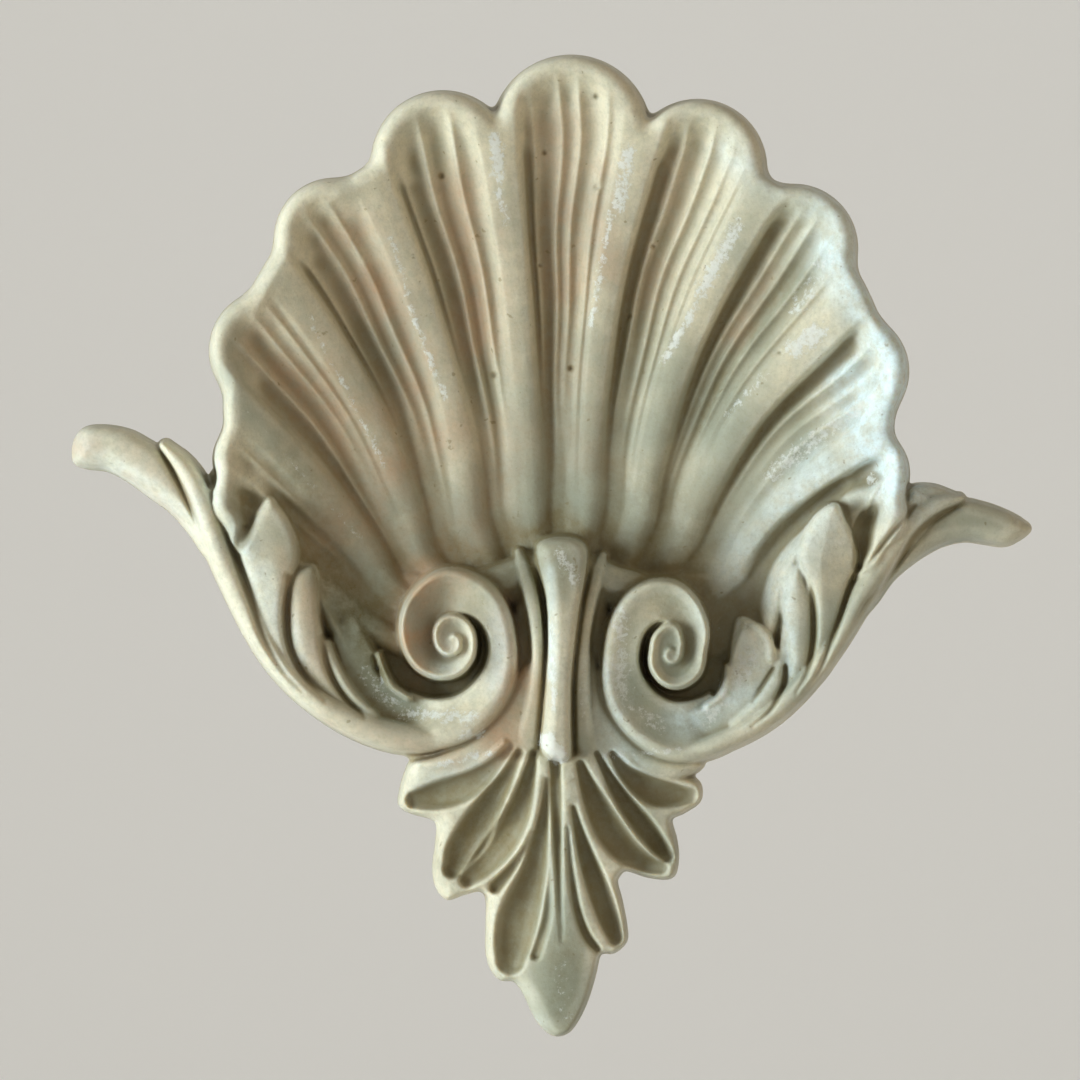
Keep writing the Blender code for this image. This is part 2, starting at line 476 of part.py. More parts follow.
def carve_right_arm(relief):
    relief.panel((
        (54.0, 12.8), (52.9, 13.9), (50.6, 15.0), (48.4, 15.7), (46.4, 16.0), (44.2, 15.0),
        (42.0, 13.6), (40.2, 11.6), (38.6, 9.4), (37.0, 6.8), (35.4, 4.2), (34.2, 2.2), (36.2, 4.4),
        (38.0, 6.9), (40.0, 8.7), (42.4, 10.3), (44.4, 11.2), (46.6, 11.6), (48.8, 11.3),
        (51.0, 11.0), (52.6, 11.6),
    ), 0.78 * ARM_HEIGHT, slope=(-0.11, 0.05), rounding=0.0013, crown=0.0006)
    relief.blade((
        (45.9, 16.3, 0.35, 0.78), (44.0, 15.7, 1.0, 0.84), (41.8, 14.7, 1.35, 0.89),
        (39.7, 12.9, 1.6, 0.93), (38.0, 10.8, 1.6, 0.97), (36.4, 8.4, 1.5, 1.0),
        (34.6, 5.4, 1.4, 1.0), (32.0, 0.7, 1.2, 1.0), (29.9, -2.3, 1.2, 1.0),
        (27.4, -5.4, 1.25, 1.0), (24.3, -8.3, 1.25, 1.0), (21.2, -10.3, 1.2, 1.0),
        (18.1, -11.7, 1.1, 1.0), (15.3, -12.5, 1.0, 0.97), (12.8, -12.7, 0.8, 0.92),
    ), ARM_HEIGHT, crown=0.0005, rounding=0.0012, blend=0.0004)
    relief.blade((
        (45.0, 16.5, 0.4, 0.70), (42.6, 16.9, 0.8, 0.72), (40.3, 16.2, 1.2, 0.76),
        (38.0, 13.6, 1.3, 0.80), (35.8, 10.6, 1.0, 0.84),
    ), ARM_HEIGHT, blend=0.0006, rounding=0.0008)
    relief.blade((
        (34.5, 7.6, 0.4, 0.94), (33.9, 5.5, 1.0, 0.96), (32.6, 2.5, 1.1, 0.96),
        (31.2, -0.5, 1.1, 0.95), (29.6, -3.2, 1.0, 0.94), (27.5, -5.8, 0.9, 0.92),
    ), ARM_HEIGHT, crown=0.0003, rounding=0.0008, blend=0.0004)
    relief.panel((
        (31.4, 15.6), (32.4, 13.8), (33.4, 11.6), (33.9, 9.6), (33.5, 7.4), (32.4, 4.6), (31.4, 1.6),
        (30.3, -1.6), (28.6, -4.6), (26.6, -7.0), (27.4, -3.8), (28.2, -0.6), (28.5, 3.0), (28.0, 6.4),
        (27.2, 8.4), (27.1, 10.6), (28.0, 12.8), (29.6, 14.8),
    ), 0.871 * LEAF_HEIGHT, slope=(0.0, 0.11), fall=0.20,
        ridge=((30.8, 15.0), (30.2, 11.5), (29.6, 8.4), (29.9, 2), (28.8, -4)),
        rounding=0.0009, lean=0.5, blend=0.0005)
    relief.panel((
        (26.9, 7.7), (26.0, 7.2), (25.4, 6.0), (25.2, 4.0), (25.4, 1.6), (25.8, -1.0), (25.9, -3.4),
        (25.2, -6.0), (23.4, -9.0), (26.0, -7.6), (27.6, -4.8), (28.4, -2.0), (28.7, 1.0),
        (28.6, 4.2), (27.8, 6.8),
    ), 0.803 * LEAF_HEIGHT, slope=(0.0, 0.03), fall=0.20,
        ridge=((26.8, 7.4), (27.1, 3), (27.0, -1), (26.2, -5)),
        rounding=0.0009, lean=0.4, blend=0.0005)
    relief.panel((
        (20.3, 2.5), (21.8, 2.4), (23.2, 1.4), (24.3, -0.1), (24.5, -1.8), (24.0, -3.4), (23.2, -5.2),
        (22.0, -7.2), (20.6, -9.0), (18.6, -10.6), (15.6, -11.2), (13.6, -9.8), (15.2, -8.0),
        (17.3, -7.2), (18.7, -6.0), (19.3, -4.5), (19.3, -3.0), (19.4, -1), (19.7, 0.8),
    ), 0.667 * LEAF_HEIGHT, slope=(0.10, -0.17), rounding=0.0006, blend=0.0006)
    relief.blade((
        (20.9, 2.0, 0.25, 0.66), (22.6, 1.4, 0.4, 0.72), (23.8, -0.2, 0.5, 0.75),
        (24.0, -2.0, 0.5, 0.76),
    ), LEAF_HEIGHT, rounding=THIN_EDGE_ROUND, blend=0.0005)
    relief.blade((
        (25.1, -2.8, 0.4, 0.72), (24.7, -4.3, 0.95, 0.77), (23.6, -6.3, 1.1, 0.78),
        (22.0, -8.1, 1.0, 0.78), (20.0, -9.7, 0.8, 0.77),
    ), LEAF_HEIGHT, crown=0.0003, rounding=0.0008, blend=0.0005)
    for rows in (
        ((46.4, 16.0, 0.3, 0.5), (43.4, 14.5, 0.45, 1.0), (40.6, 12.2, 0.5, 1.0),
         (38.4, 8.6, 0.45, 0.9), (36.4, 5.4, 0.3, 0.3)),
        ((40.6, 15.4, 0.3, 0.3), (38.0, 12.6, 0.4, 0.8), (36.2, 10.2, 0.4, 0.8), (34.9, 8.6, 0.3, 0.3)),
        ((34.2, 8.6, 0.35, 0.9), (33.0, 6.4, 0.4, 1.1), (32.0, 3.0, 0.4, 1.1), (30.9, 0.0, 0.4, 1.0),
         (29.4, -3.6, 0.3, 0.5), (27.6, -6.0, 0.25, 0.2)),
        ((28.0, 7.4, 0.3, 0.9), (28.7, 4.6, 0.45, 1.3), (28.9, 0.6, 0.45, 1.3), (28.2, -3.4, 0.35, 0.8),
         (26.8, -6.0, 0.25, 0.3)),
        ((25.6, -3.0, 0.3, 0.8), (25.2, -5.6, 0.35, 0.9), (23.9, -8.0, 0.3, 0.8),
         (21.8, -9.8, 0.2, 0.3)),
    ):
        relief.groove(rows, LEAF_CREASE)


def carve_stem(relief):
    # the hinge web that sags from volute to volute, and the bed of the ribs
    relief.mound((
        (-11.0, 3.4, 5.8, 0.62), (-7.5, 3.8, 6.8, 0.66), (-4.0, 4.0, 7.6, 0.74), (0, 4.0, 8.2, 0.76),
        (4.0, 3.8, 7.4, 0.74), (7.5, 3.2, 6.6, 0.66), (11.0, 2.2, 5.6, 0.60),
    ), STEM_HEIGHT, blend=0.0012)
    relief.mound((
        (-9.6, 5.6, 3.4, 0.62), (-6.0, 6.6, 4.0, 0.72), (0, 7.2, 4.4, 0.74), (6.0, 6.2, 4.0, 0.70),
        (9.6, 5.0, 3.4, 0.60),
    ), STEM_HEIGHT, blend=0.0010)
    relief.blade((
        (0, 7.0, 4.0, 0.66), (0, 4, 4.4, 0.68), (-0.15, 0, 4.6, 0.68), (-0.25, -5, 4.8, 0.68),
        (-0.4, -10, 4.4, 0.66), (-0.5, -13, 3.4, 0.58),
    ), STEM_HEIGHT, rounding=0.0020, blend=0.0014)
    # the swell on each side that fills in under the volute and runs down into the palmette
    relief.panel((
        (-2.6, -2.0), (-4.6, -3.2), (-6.0, -5.6), (-8.0, -8.6), (-10.6, -11.2), (-14.2, -13.2),
        (-17.0, -14.2), (-14.0, -14.9), (-9.0, -14.0), (-5.0, -13.2), (-2.6, -12.6), (-2.4, -7.0),
    ), 0.667 * STEM_HEIGHT, slope=(0.06, 0.10), rounding=0.0016, blend=0.0012)
    relief.panel((
        (2.4, -3.0), (3.8, -4.4), (4.6, -7.0), (6.0, -10.4), (8.6, -13.0), (12.4, -14.2), (15.8, -14.6),
        (13.6, -15.8), (8.6, -15.2), (4.6, -13.8), (2.4, -13.4), (2.2, -8.0),
    ), 0.6 * STEM_HEIGHT, slope=(-0.10, 0.06), rounding=0.0014, blend=0.0012)
    # the stem itself: a flat-topped band that widens upwards, with a rib on each side
    relief.panel((
        (-2.6, 10.7), (-1.6, 11.4), (0, 11.6), (1.4, 11.4), (2.5, 10.6), (2.75, 9.2), (2.5, 6.8),
        (2.1, 4.4), (1.75, 2.0), (1.4, -1), (1.1, -4), (1.0, -7), (1.0, -10), (1.0, -12.6),
        (0.5, -13.6), (-0.9, -13.6), (-2.1, -12.8), (-2.3, -11.4), (-2.0, -8), (-1.75, -4),
        (-1.55, 0), (-1.65, 4), (-2.0, 6.4), (-2.6, 9),
    ), 0.97 * STEM_HEIGHT, slope=(0.0, 0.06), fall=0.14,
        ridge=((-0.6, 8), (-0.5, 0), (-0.9, -12)), rounding=0.0012, lean=0.4, blend=0.0004)
    relief.blade((
        (-4.9, 10.0, 0.5, 0.48), (-4.2, 7.8, 0.8, 0.66), (-3.5, 5, 0.85, 0.78), (-2.95, 2, 0.8, 0.80),
        (-2.7, -1, 0.75, 0.80), (-2.8, -4, 0.8, 0.79), (-3.2, -8, 1.1, 0.74), (-3.8, -11, 1.2, 0.68),
        (-4.3, -13, 1.0, 0.60),
    ), STEM_HEIGHT, rounding=0.0009, blend=0.0009)
    relief.blade((
        (4.7, 9.6, 0.5, 0.48), (4.0, 7.6, 0.8, 0.64), (3.4, 5.2, 0.8, 0.75), (2.8, 2.6, 0.8, 0.78),
        (2.45, 0, 0.8, 0.78), (2.25, -4, 0.9, 0.77), (2.3, -8, 1.0, 0.75), (2.6, -11.6, 1.2, 0.70),
        (3.0, -13.4, 1.0, 0.62),
    ), STEM_HEIGHT, rounding=0.0009, blend=0.0008)
    for rows in (
        ((-3.3, 10.4, 0.3, 0.5), (-2.7, 7.4, 0.4, 1.0), (-2.1, 4.6, 0.4, 1.0), (-1.95, 0, 0.4, 1.0),
         (-2.1, -5, 0.4, 1.0), (-2.45, -10, 0.35, 0.8), (-2.6, -12.6, 0.3, 0.6)),
        ((3.1, 10.0, 0.35, 0.7), (2.85, 7, 0.4, 1.0), (2.3, 4, 0.4, 1.0), (1.75, 0, 0.4, 1.0),
         (1.35, -4, 0.35, 1.0), (1.3, -9, 0.35, 1.0), (1.4, -13, 0.3, 0.8)),
    ):
        relief.groove(rows, STEM_CREASE)


# The outline of all seven lobes, from the top left round.
PALMETTE_EDGE = (
    (-7, -11), (-12, -13.4), (-16.8, -14.0), (-17.9, -15.5), (-18.5, -17.6), (-18.6, -19.0),
    (-17.4, -19.8), (-14.9, -20.5), (-14.2, -21.6), (-14.4, -24), (-14.7, -26.3), (-14.4, -28.4),
    (-13.3, -29.8), (-11.6, -29.3), (-9.6, -28.8), (-8.6, -29.6), (-8.5, -32), (-8.6, -35.5),
    (-8.2, -37.7), (-7.1, -39.1), (-5.5, -39.3), (-4.4, -40.6), (-2.9, -43.7), (-1.6, -45.2),
    (-0.3, -45.6), (1.1, -44.8), (2.6, -42.1), (3.6, -38.9), (4.3, -36.2), (5.9, -36.0), (7.2, -34.9),
    (7.3, -33.4), (6.7, -30.3), (6.1, -27.7), (7.3, -26.4), (10, -27.2), (12.6, -27.3), (13.2, -25.4),
    (13.0, -23.2), (12.4, -20.7), (13.9, -19.8), (15.6, -18.7), (15.9, -17.4), (15.4, -16.4),
    (13.9, -15.8), (9, -14.6), (5, -11),
)
# Each hollow, along its middle: x, z, half-width and share of the depth.
PALMETTE_HOLLOWS = (
    ((-16.9, -18.4, 1.0, 0.8), (-14.4, -17.9, 1.5, 1.0), (-11.7, -17.1, 1.6, 0.9),
     (-9.5, -15.9, 1.3, 0.8), (-7.6, -14.2, 0.8, 0.6), (-6.0, -12.3, 0.5, 0.4)),
    ((-12.8, -26.5, 1.1, 0.8), (-12.0, -24.4, 1.6, 1.0), (-10.4, -22.2, 1.9, 1.0),
     (-8.5, -19.2, 1.5, 1.0), (-6.6, -16.2, 0.95, 0.9), (-4.9, -12.9, 0.5, 0.5)),
    ((-10.8, -27.5, 0.95, 0.7), (-8.9, -25.7, 1.4, 1.0), (-6.9, -23.3, 1.65, 1.0),
     (-5.4, -20.6, 1.5, 1.0), (-4.4, -17.9, 1.15, 0.9), (-3.7, -15.2, 0.75, 0.8),
     (-3.2, -13.0, 0.45, 0.5)),
    ((-7.6, -28.4, 0.8, 0.7), (-5.9, -26.4, 0.6, 0.6), (-4.4, -24.2, 0.4, 0.4), (-3.4, -22, 0.25, 0.2)),
    ((-5.9, -36.9, 1.55, 0.8), (-5.6, -35.0, 2.0, 1.0), (-5.1, -32.3, 2.2, 1.0),
     (-4.2, -29.4, 1.9, 1.0), (-3.3, -26.6, 1.45, 1.0), (-2.6, -23.4, 1.0, 0.9),
     (-2.0, -19.5, 0.6, 0.6), (-1.7, -16.0, 0.35, 0.35)),
    ((6.2, -34.2, 0.9, 0.8), (5.5, -32.3, 1.15, 1.0), (4.6, -29.8, 1.25, 1.0), (3.7, -27.3, 1.15, 1.0),
     (2.8, -24.7, 0.9, 0.9), (2.0, -22, 0.6, 0.6), (1.3, -19.2, 0.35, 0.35)),
    ((11.4, -26.2, 0.75, 0.6), (9.5, -25.6, 1.1, 1.0), (7.3, -24.1, 1.5, 1.0), (5.6, -22.0, 1.65, 1.0),
     (4.2, -19.4, 1.4, 1.0), (3.0, -16.7, 0.95, 0.9), (2.1, -14.2, 0.5, 0.6)),
    ((12.2, -24.9, 0.75, 0.7), (11.1, -23.6, 1.0, 1.0), (9.5, -21.5, 1.15, 1.0),
     (7.9, -19.5, 1.05, 1.0), (6.3, -17.2, 0.8, 0.9), (5.0, -14.9, 0.5, 0.7),
     (4.0, -13.0, 0.35, 0.4)),
    ((14.8, -17.9, 0.9, 0.8), (12.8, -17.8, 1.35, 1.0), (10.6, -17.4, 1.55, 1.0),
     (8.8, -16.4, 1.3, 1.0), (7.1, -14.9, 0.85, 0.8), (5.8, -13.1, 0.45, 0.5)),
    ((-0.75, -14.0, 0.6, 0.6), (-0.65, -19, 0.65, 0.6), (-0.5, -24, 0.5, 0.45), (-0.3, -29, 0.35, 0.25),
     (0.0, -34.5, 0.2, 0.1)),
    ((-1.3, -23.5, 0.25, 0.15), (-1.45, -28, 0.35, 0.2), (-1.75, -32, 0.5, 0.3),
     (-3.0, -36.2, 0.6, 0.4)),
    ((0.65, -21.5, 0.25, 0.2), (1.0, -26, 0.35, 0.3), (1.75, -30.8, 0.45, 0.4), (2.8, -33.8, 0.5, 0.5),
     (4.1, -35.6, 0.45, 0.5)),
)


def carve_palmette(relief):
    # one leaf-shaped body that falls away from the stem, with a hollow in each lobe
    line = closed_curve(np.array(PALMETTE_EDGE, float)) * UNIT
    where = relief.window(line, 0.003)
    x, z = relief.x[where], relief.z[where]
    inside = inside_of(line, x, z)
    outwards = np.sqrt(x**2 + (2 * UNIT) ** 2) - 2 * UNIT
    down = -13 * UNIT - z
    surface = PALMETTE_HEIGHT - PALMETTE_FALL * down - PALMETTE_SIDE_FALL * outwards
    surface = surface - 0.0030 * ramp(-down, -1 * UNIT, 2 * UNIT)
    facing = np.gradient(inside, x[0], axis=1)
    rounding = 0.0011 * (1 + 0.8 * np.clip(facing, -0.6, 1))
    relief.add(walled(inside, surface, rounding), where, 0.0008)
    # folds above the top lobes
    relief.blade((
        (-16.4, -15.5, 0.7, 0.58), (-14, -15.3, 0.7, 0.66), (-11, -14.7, 0.6, 0.76),
        (-8.5, -13.4, 0.5, 0.88), (-6.6, -11.8, 0.4, 0.96),
    ), PALMETTE_HEIGHT, rounding=0.0005, blend=0.0008)


def hollow_palmette(relief):
    for rows in PALMETTE_HOLLOWS:
        wider = [(x, z, 1.12 * half, share) for x, z, half, share in rows]
        relief.groove(wider, PALMETTE_HOLLOW, 3.0)


def carve(x, z):
    # the height of the front above the flat back; negative outside the casting
    relief = Relief(x, z)
    carve_shell(relief)
    carve_folds(relief)
    carve_web(relief)
    carve_left_arm(relief)
    carve_right_arm(relief)
    carve_palmette(relief)
    carve_volute(relief, LEFT_VOLUTE, 1, LEFT_SPIRAL, 0.80)
    carve_volute(relief, RIGHT_VOLUTE, -1, RIGHT_SPIRAL, 0.80)
    carve_stem(relief)
    hollow_palmette(relief)
    return relief.height


# The sheet that is carved: a little larger than the onlay, in drawn units.
LEFT, RIGHT, BOTTOM, TOP = -60, 58, -49, 70
OUTSIDE = -0.003


def carved_sheet():
    """A flat grid with each vertex moved forward by the carving, cut off at the back plane."""
    columns = round((RIGHT - LEFT) * UNIT / GRID_STEP)
    rows = round((TOP - BOTTOM) * UNIT / GRID_STEP)
    mesh = bmesh.new()
    bmesh.ops.create_grid(mesh, x_segments=columns, y_segments=rows, size=0.5)
    flat = np.array([vertex.co for vertex in mesh.verts])
    place = np.round((flat[:, :2] + 0.5) * (columns, rows)).astype(int)
    x = (LEFT * UNIT) + (RIGHT - LEFT) * UNIT * np.arange(columns + 1) / columns
    z = (BOTTOM * UNIT) + (TOP - BOTTOM) * UNIT * np.arange(rows + 1) / rows
    height = np.maximum(carve(*np.meshgrid(x, z)), OUTSIDE)
    for vertex, (i, j) in zip(mesh.verts, place):
        vertex.co = (x[i], -height[j, i], z[j])
    everything = mesh.verts[:] + mesh.edges[:] + mesh.faces[:]
    bmesh.ops.bisect_plane(
        mesh, geom=everything, plane_co=(0, 0, 0), plane_no=(0, 1, 0), clear_outer=True
    )
    return mesh


def close_back(mesh):
    """Fills the flat back across the cut edge."""
    rim = [edge for edge in mesh.edges if edge.is_boundary]
    bmesh.ops.triangle_fill(mesh, use_beauty=True, edges=rim, normal=Vector((0, 1, 0)))
    bmesh.ops.triangulate(mesh, faces=mesh.faces[:])
    bmesh.ops.recalc_face_normals(mesh, faces=mesh.faces[:])


def cast_resin():
    """Ivory cast resin, a little glossy."""
    material = bpy.data.materials.new("ivory_resin")
    material.use_nodes = True
    shader = material.node_tree.nodes["Principled BSDF"]
    shader.inputs["Base Color"].default_value = (0.62, 0.57, 0.44, 1)
    shader.inputs["Roughness"].default_value = 0.42
    shader.inputs["Metallic"].default_value = 0.0
    return material


def build_onlay():
    mesh = carved_sheet()
    close_back(mesh)
    data = bpy.data.meshes.new("shell_onlay")
    mesh.to_mesh(data)
    mesh.free()
    onlay = bpy.data.objects.new("shell_onlay", data)
    data.materials.append(cast_resin())
    collection = bpy.data.collections.new("shell_furniture_onlay")
    bpy.context.scene.collection.children.link(collection)
    collection.objects.link(onlay)
    thin = onlay.modifiers.new("fewer_triangles", "DECIMATE")
    thin.ratio = min(1, TRIANGLES / len(data.polygons))
    return onlay


build_onlay()
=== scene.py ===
import math

import bmesh
import bpy
import numpy as np
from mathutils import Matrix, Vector


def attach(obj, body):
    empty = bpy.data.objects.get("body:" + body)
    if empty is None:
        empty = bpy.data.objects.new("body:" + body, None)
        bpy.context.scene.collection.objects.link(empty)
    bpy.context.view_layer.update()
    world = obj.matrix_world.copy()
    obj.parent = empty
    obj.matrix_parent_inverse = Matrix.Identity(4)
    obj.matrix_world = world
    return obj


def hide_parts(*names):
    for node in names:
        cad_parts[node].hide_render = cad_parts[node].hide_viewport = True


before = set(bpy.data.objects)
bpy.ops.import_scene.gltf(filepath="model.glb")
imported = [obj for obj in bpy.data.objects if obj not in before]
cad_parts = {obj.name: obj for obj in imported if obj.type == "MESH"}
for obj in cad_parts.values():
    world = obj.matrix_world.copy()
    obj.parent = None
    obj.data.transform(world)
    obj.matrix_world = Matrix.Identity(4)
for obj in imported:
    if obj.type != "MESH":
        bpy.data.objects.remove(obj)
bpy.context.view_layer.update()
print("frame loaded")

# The whole casting. Sizes in metres; heights are measured forward from the flat back.
cast = {
    "width": 0.110,
    "gridStep": 0.00016,       # spacing of the sheet that is carved
    "triangles": 190000,       # left after thinning
    "wallSlope": 16.0,         # rise of a side wall for each unit outwards
    "blend": 0.00025,          # fillet where two forms meet
    "edgeRound": 0.0011,
    "thinEdge": 0.0006,
}
unit = cast["width"] / 110     # the ornament is drawn in 110ths of the width: x right, z up


def softMax(a, b, blend=cast["blend"]):
    # the higher of two surfaces, with a fillet where they meet
    share = np.clip(0.5 + 0.5 * (a - b) / blend, 0, 1)
    return b + (a - b) * share + blend * share * (1 - share)


def ramp(value, start, end):
    # a smooth rise from 0 to 1 between two values
    t = np.clip((value - start) / (end - start), 0, 1)
    return t * t * (3 - 2 * t)


def between(a, b, c, d, t):
    # the point at t on the smooth stretch from b to c, with a before it and d after it
    cubic = (3 * b - a - 3 * c + d) * t**3 + (2 * a - 5 * b + 4 * c - d) * t**2
    return 0.5 * (2 * b + (c - a) * t + cubic)


def smoothRows(rows, count):
    # a smooth open line through the rows
    rows = np.array(rows, float)
    ends = np.vstack([2 * rows[0] - rows[1], rows, 2 * rows[-1] - rows[-2]])
    place = np.linspace(0, len(rows) - 1, count)
    i = np.minimum(place.astype(int), len(rows) - 2)
    return between(ends[i], ends[i + 1], ends[i + 2], ends[i + 3], (place - i)[:, None])


def closedCurve(corners, steps=5):
    # a smooth closed line through the corners
    count = len(corners)
    t = (np.arange(steps) / steps)[:, None]
    line = [between(*(corners[(i + k) % count] for k in (-1, 0, 1, 2)), t) for i in range(count)]
    line = np.concatenate(line)
    return np.vstack([line, line[:1]])


def offsetFrom(line, x, z):
    # for each point: its place along the line, its distance, and how far it is to the line's left
    nearest = np.full(x.shape, 1e9)
    place = np.zeros(x.shape)
    left = np.zeros(x.shape)
    for i in range(len(line) - 1):
        ax, az = line[i, :2]
        dx, dz = line[i + 1, :2] - line[i, :2]
        length = np.hypot(dx, dz)
        t = np.clip(((x - ax) * dx + (z - az) * dz) / length**2, 0, 1)
        qx = x - ax - t * dx
        qz = z - az - t * dz
        off = np.hypot(qx, qz)
        closer = off < nearest
        nearest = np.where(closer, off, nearest)
        place = np.where(closer, i + t, place)
        left = np.where(closer, (dx * qz - dz * qx) / length, left)
    return place, nearest, left


def insideOf(line, x, z):
    # how far inside a closed line each point lies, negative outside
    off = offsetFrom(line, x, z)[1]
    within = np.zeros(x.shape, bool)
    for (ax, az), (bx, bz) in zip(line[:-1], line[1:]):
        if az != bz:
            within ^= ((az > z) != (bz > z)) & (x < ax + (bx - ax) * (z - az) / (bz - az))
    return np.where(within, off, -off)


def leaned(rounding, lean, inside, x):
    # the left edge of a leaning form is rounder than its right edge
    facing = np.gradient(inside, x[0], axis=1)
    return rounding * (1 + lean * np.clip(facing, -0.6, 1))


def walled(inside, surface, rounding):
    # a surface with a rounded edge, and a steep wall outside it
    d = np.clip(inside, 0, rounding)
    fall = rounding - np.sqrt(np.maximum(rounding**2 - (rounding - d) ** 2, 0))
    return surface - fall - cast["wallSlope"] * np.maximum(-inside, 0)


def wallReach(height):
    # how far from a form's edge its wall can still show
    return 2 * height / cast["wallSlope"] + 0.001


class Relief:

    def __init__(self, x, z):
        self.x = x
        self.z = z
        self.height = np.full(x.shape, -1.0)
        # the grooves' depth also sets the painted shade in them
        self.cut = np.zeros(x.shape)    # how deep the grooves go, for the finish

    def window(self, points, margin):
        # the part of the sheet that holds the points
        low = points[:, :2].min(axis=0) - margin
        high = points[:, :2].max(axis=0) + margin
        columns = np.searchsorted(self.x[0], [low[0], high[0]])
        rows = np.searchsorted(self.z[:, 0], [low[1], high[1]])
        return slice(*rows), slice(*columns)

    def add(self, form, where=(slice(None), slice(None)), blend=cast["blend"]):
        self.height[where] = softMax(form, self.height[where], blend)

    def along(self, rows, margin=0.001):
        # the sheet along a line of rows: x, z, half-width, and share of a height or depth
        line = smoothRows(rows, 36)
        line[:, :3] *= unit
        where = self.window(line, line[:, 2].max() + margin)
        place, off, left = offsetFrom(line, self.x[where], self.z[where])
        half, share = (np.interp(place, np.arange(len(line)), line[:, i]) for i in (2, 3))
        return where, off, left, half, share

    def blade(self, rows, height, crown=0.0, rounding=cast["edgeRound"], blend=cast["blend"]):
        # a band with walls along its rows; its back may be crowned
        where, off, left, half, share = self.along(rows, wallReach(height))
        across = np.clip(left / half, -1, 1)
        surface = share * height + crown * (1 - across**2)
        self.add(walled(half - off, surface, np.minimum(rounding, 0.9 * half)), where, blend)

    def mound(self, rows, height, blend=0.0005):
        # a soft swell along its rows, on what is there already
        where, off, _, half, share = self.along(rows)
        swell = share * height * ramp(1 - off / half, -0.02, 1.0) - 0.0002
        self.add(np.where(self.height[where] > 0, swell, -1.0), where, blend)

    def groove(self, rows, depth, power=2.0):
        # a cut along its rows; a higher power makes its floor flatter
        where, off, _, half, share = self.along(rows)
        cut = share * depth * np.maximum(1 - (off / half) ** power, 0)
        self.height[where] -= cut
        self.cut[where] += cut

    def plate(self, corners, height, rounding=cast["edgeRound"], blend=cast["blend"]):
        # a flat form with straight sides from corner to corner
        line = np.array([*corners, corners[0]], float) * unit
        where = self.window(line, wallReach(height))
        inside = insideOf(line, self.x[where], self.z[where])
        self.add(walled(inside, height, rounding), where, blend)

    def panel(self, corners, height, slope=(0.0, 0.0), ridge=None, fall=0.0, rounding=cast["edgeRound"],
              lean=0.0, crown=0.0, blend=cast["blend"]):
        # a form inside a smooth closed outline; its face may slope, be crowned, or fall off a ridge
        corners = np.array(corners, float)
        line = closedCurve(corners) * unit
        where = self.window(line, wallReach(height))
        x, z = self.x[where], self.z[where]
        inside = insideOf(line, x, z)
        middle = corners.mean(axis=0) * unit
        surface = height + slope[0] * (x - middle[0]) + slope[1] * (z - middle[1])
        if ridge:
            surface = surface - fall * offsetFrom(smoothRows(ridge, 12) * unit, x, z)[1]
        surface = surface - crown * np.clip(1 - inside / inside.max(), 0, 1) ** 2
        self.add(walled(inside, surface, leaned(rounding, lean, inside, x)), where, blend)


# Shell. The flutes fan out from a pole below the stem, between raised ribbons.
shell = {
    "rim": 0.0125,
    "floor": 0.0040,
    "fluteDepth": 0.0016,
    "striaDepth": 0.00095,
    "rimRound": 0.0018,
    "lip": 4.8,                # how far in from the outline the flutes reach their depth
    "steepness": 2.8,          # how late the bowl rises towards its rim
    "pocket": 0.0040,
    "pole": (0.35, -10.0),
    "ribbonAtRim": 0.27,       # how much of a flute its ribbons take up
    "ribbonAtPole": 0.34,
}
# The angle of each ribbon, at five distances from the pole. They bend on their way down.
ribbonReach = (26, 32, 41, 53, 68)
ribbonAngles = (
    (-63, -61, -60, -60, -60),
    (-50, -47.3, -45.6, -45.4, -46.5),
    (-39.6, -35.2, -32, -31.7, -33),
    (-24, -20.9, -19, -18.8, -19.5),
    (-8.4, -7.1, -6.6, -6.4, -6.7),
    (6.2, 5.3, 5.1, 5.7, 7.4),
    (20.8, 18.2, 17.3, 18.2, 20.5),
    (32.6, 30.4, 30.2, 32.8, 35.5),
    (47.3, 44.8, 44.8, 48, 50),
    (62, 61, 60, 61, 62),
)
ribbonLines = [smoothRows(list(zip(ribbonReach, row)), 60) for row in ribbonAngles]
# Where the fine ridges stand across each flute, as shares of its width.
ridges = (
    (0.25, 0.55, 0.8), (0.11, 0.36, 0.68, 0.87), (0.15, 0.45, 0.7), (0.14, 0.42, 0.74),
    (0.17, 0.43, 0.6, 0.86), (0.27, 0.54, 0.75, 0.92), (0.25, 0.42, 0.63, 0.84), (0.3, 0.52, 0.72),
    (0.3, 0.6),
)
# The outline: an ellipse, then a round lobe at the end of each flute. Rows: x, z, radius.
shellBody = (-0.3, 27.0, 37.9, 33.0)
lobes = (
    (-35.4, 20.8, 4), (-33.7, 33.4, 6.1), (-26.2, 46.3, 6.1), (-13.7, 55.1, 7.4), (1.1, 58.2, 8.4),
    (15.7, 54.4, 7.1), (26.8, 45.2, 6.5), (33.2, 31, 6), (34.6, 19.2, 4.7), (34.9, 14.6, 4.3),
    (33.2, 10.6, 3.4), (-35.7, 16.2, 3.9), (-34.9, 12.6, 3),
)
# The bowl: ellipses that shrink from the rim towards the deepest point.
bowl = (0.1, 22.0, 38.3, 39.0)
deepest = (0.0, -2.0)


def shellOutline(x, z):
    # how far inside the shell's outline a point lies, in drawn units
    cx, cz, a, b = shellBody
    ring = np.hypot((x - cx) / a, (z - cz) / b)
    steepness = np.hypot((x - cx) / a**2, (z - cz) / b**2) / np.maximum(ring, 1e-6)
    inside = np.minimum((1 - ring) / np.maximum(steepness, 1e-3), 15)
    for lobeX, lobeZ, radius in lobes:
        inside = softMax(radius - np.hypot(x - lobeX, z - lobeZ), inside, 1.1)
    return inside + 0.3


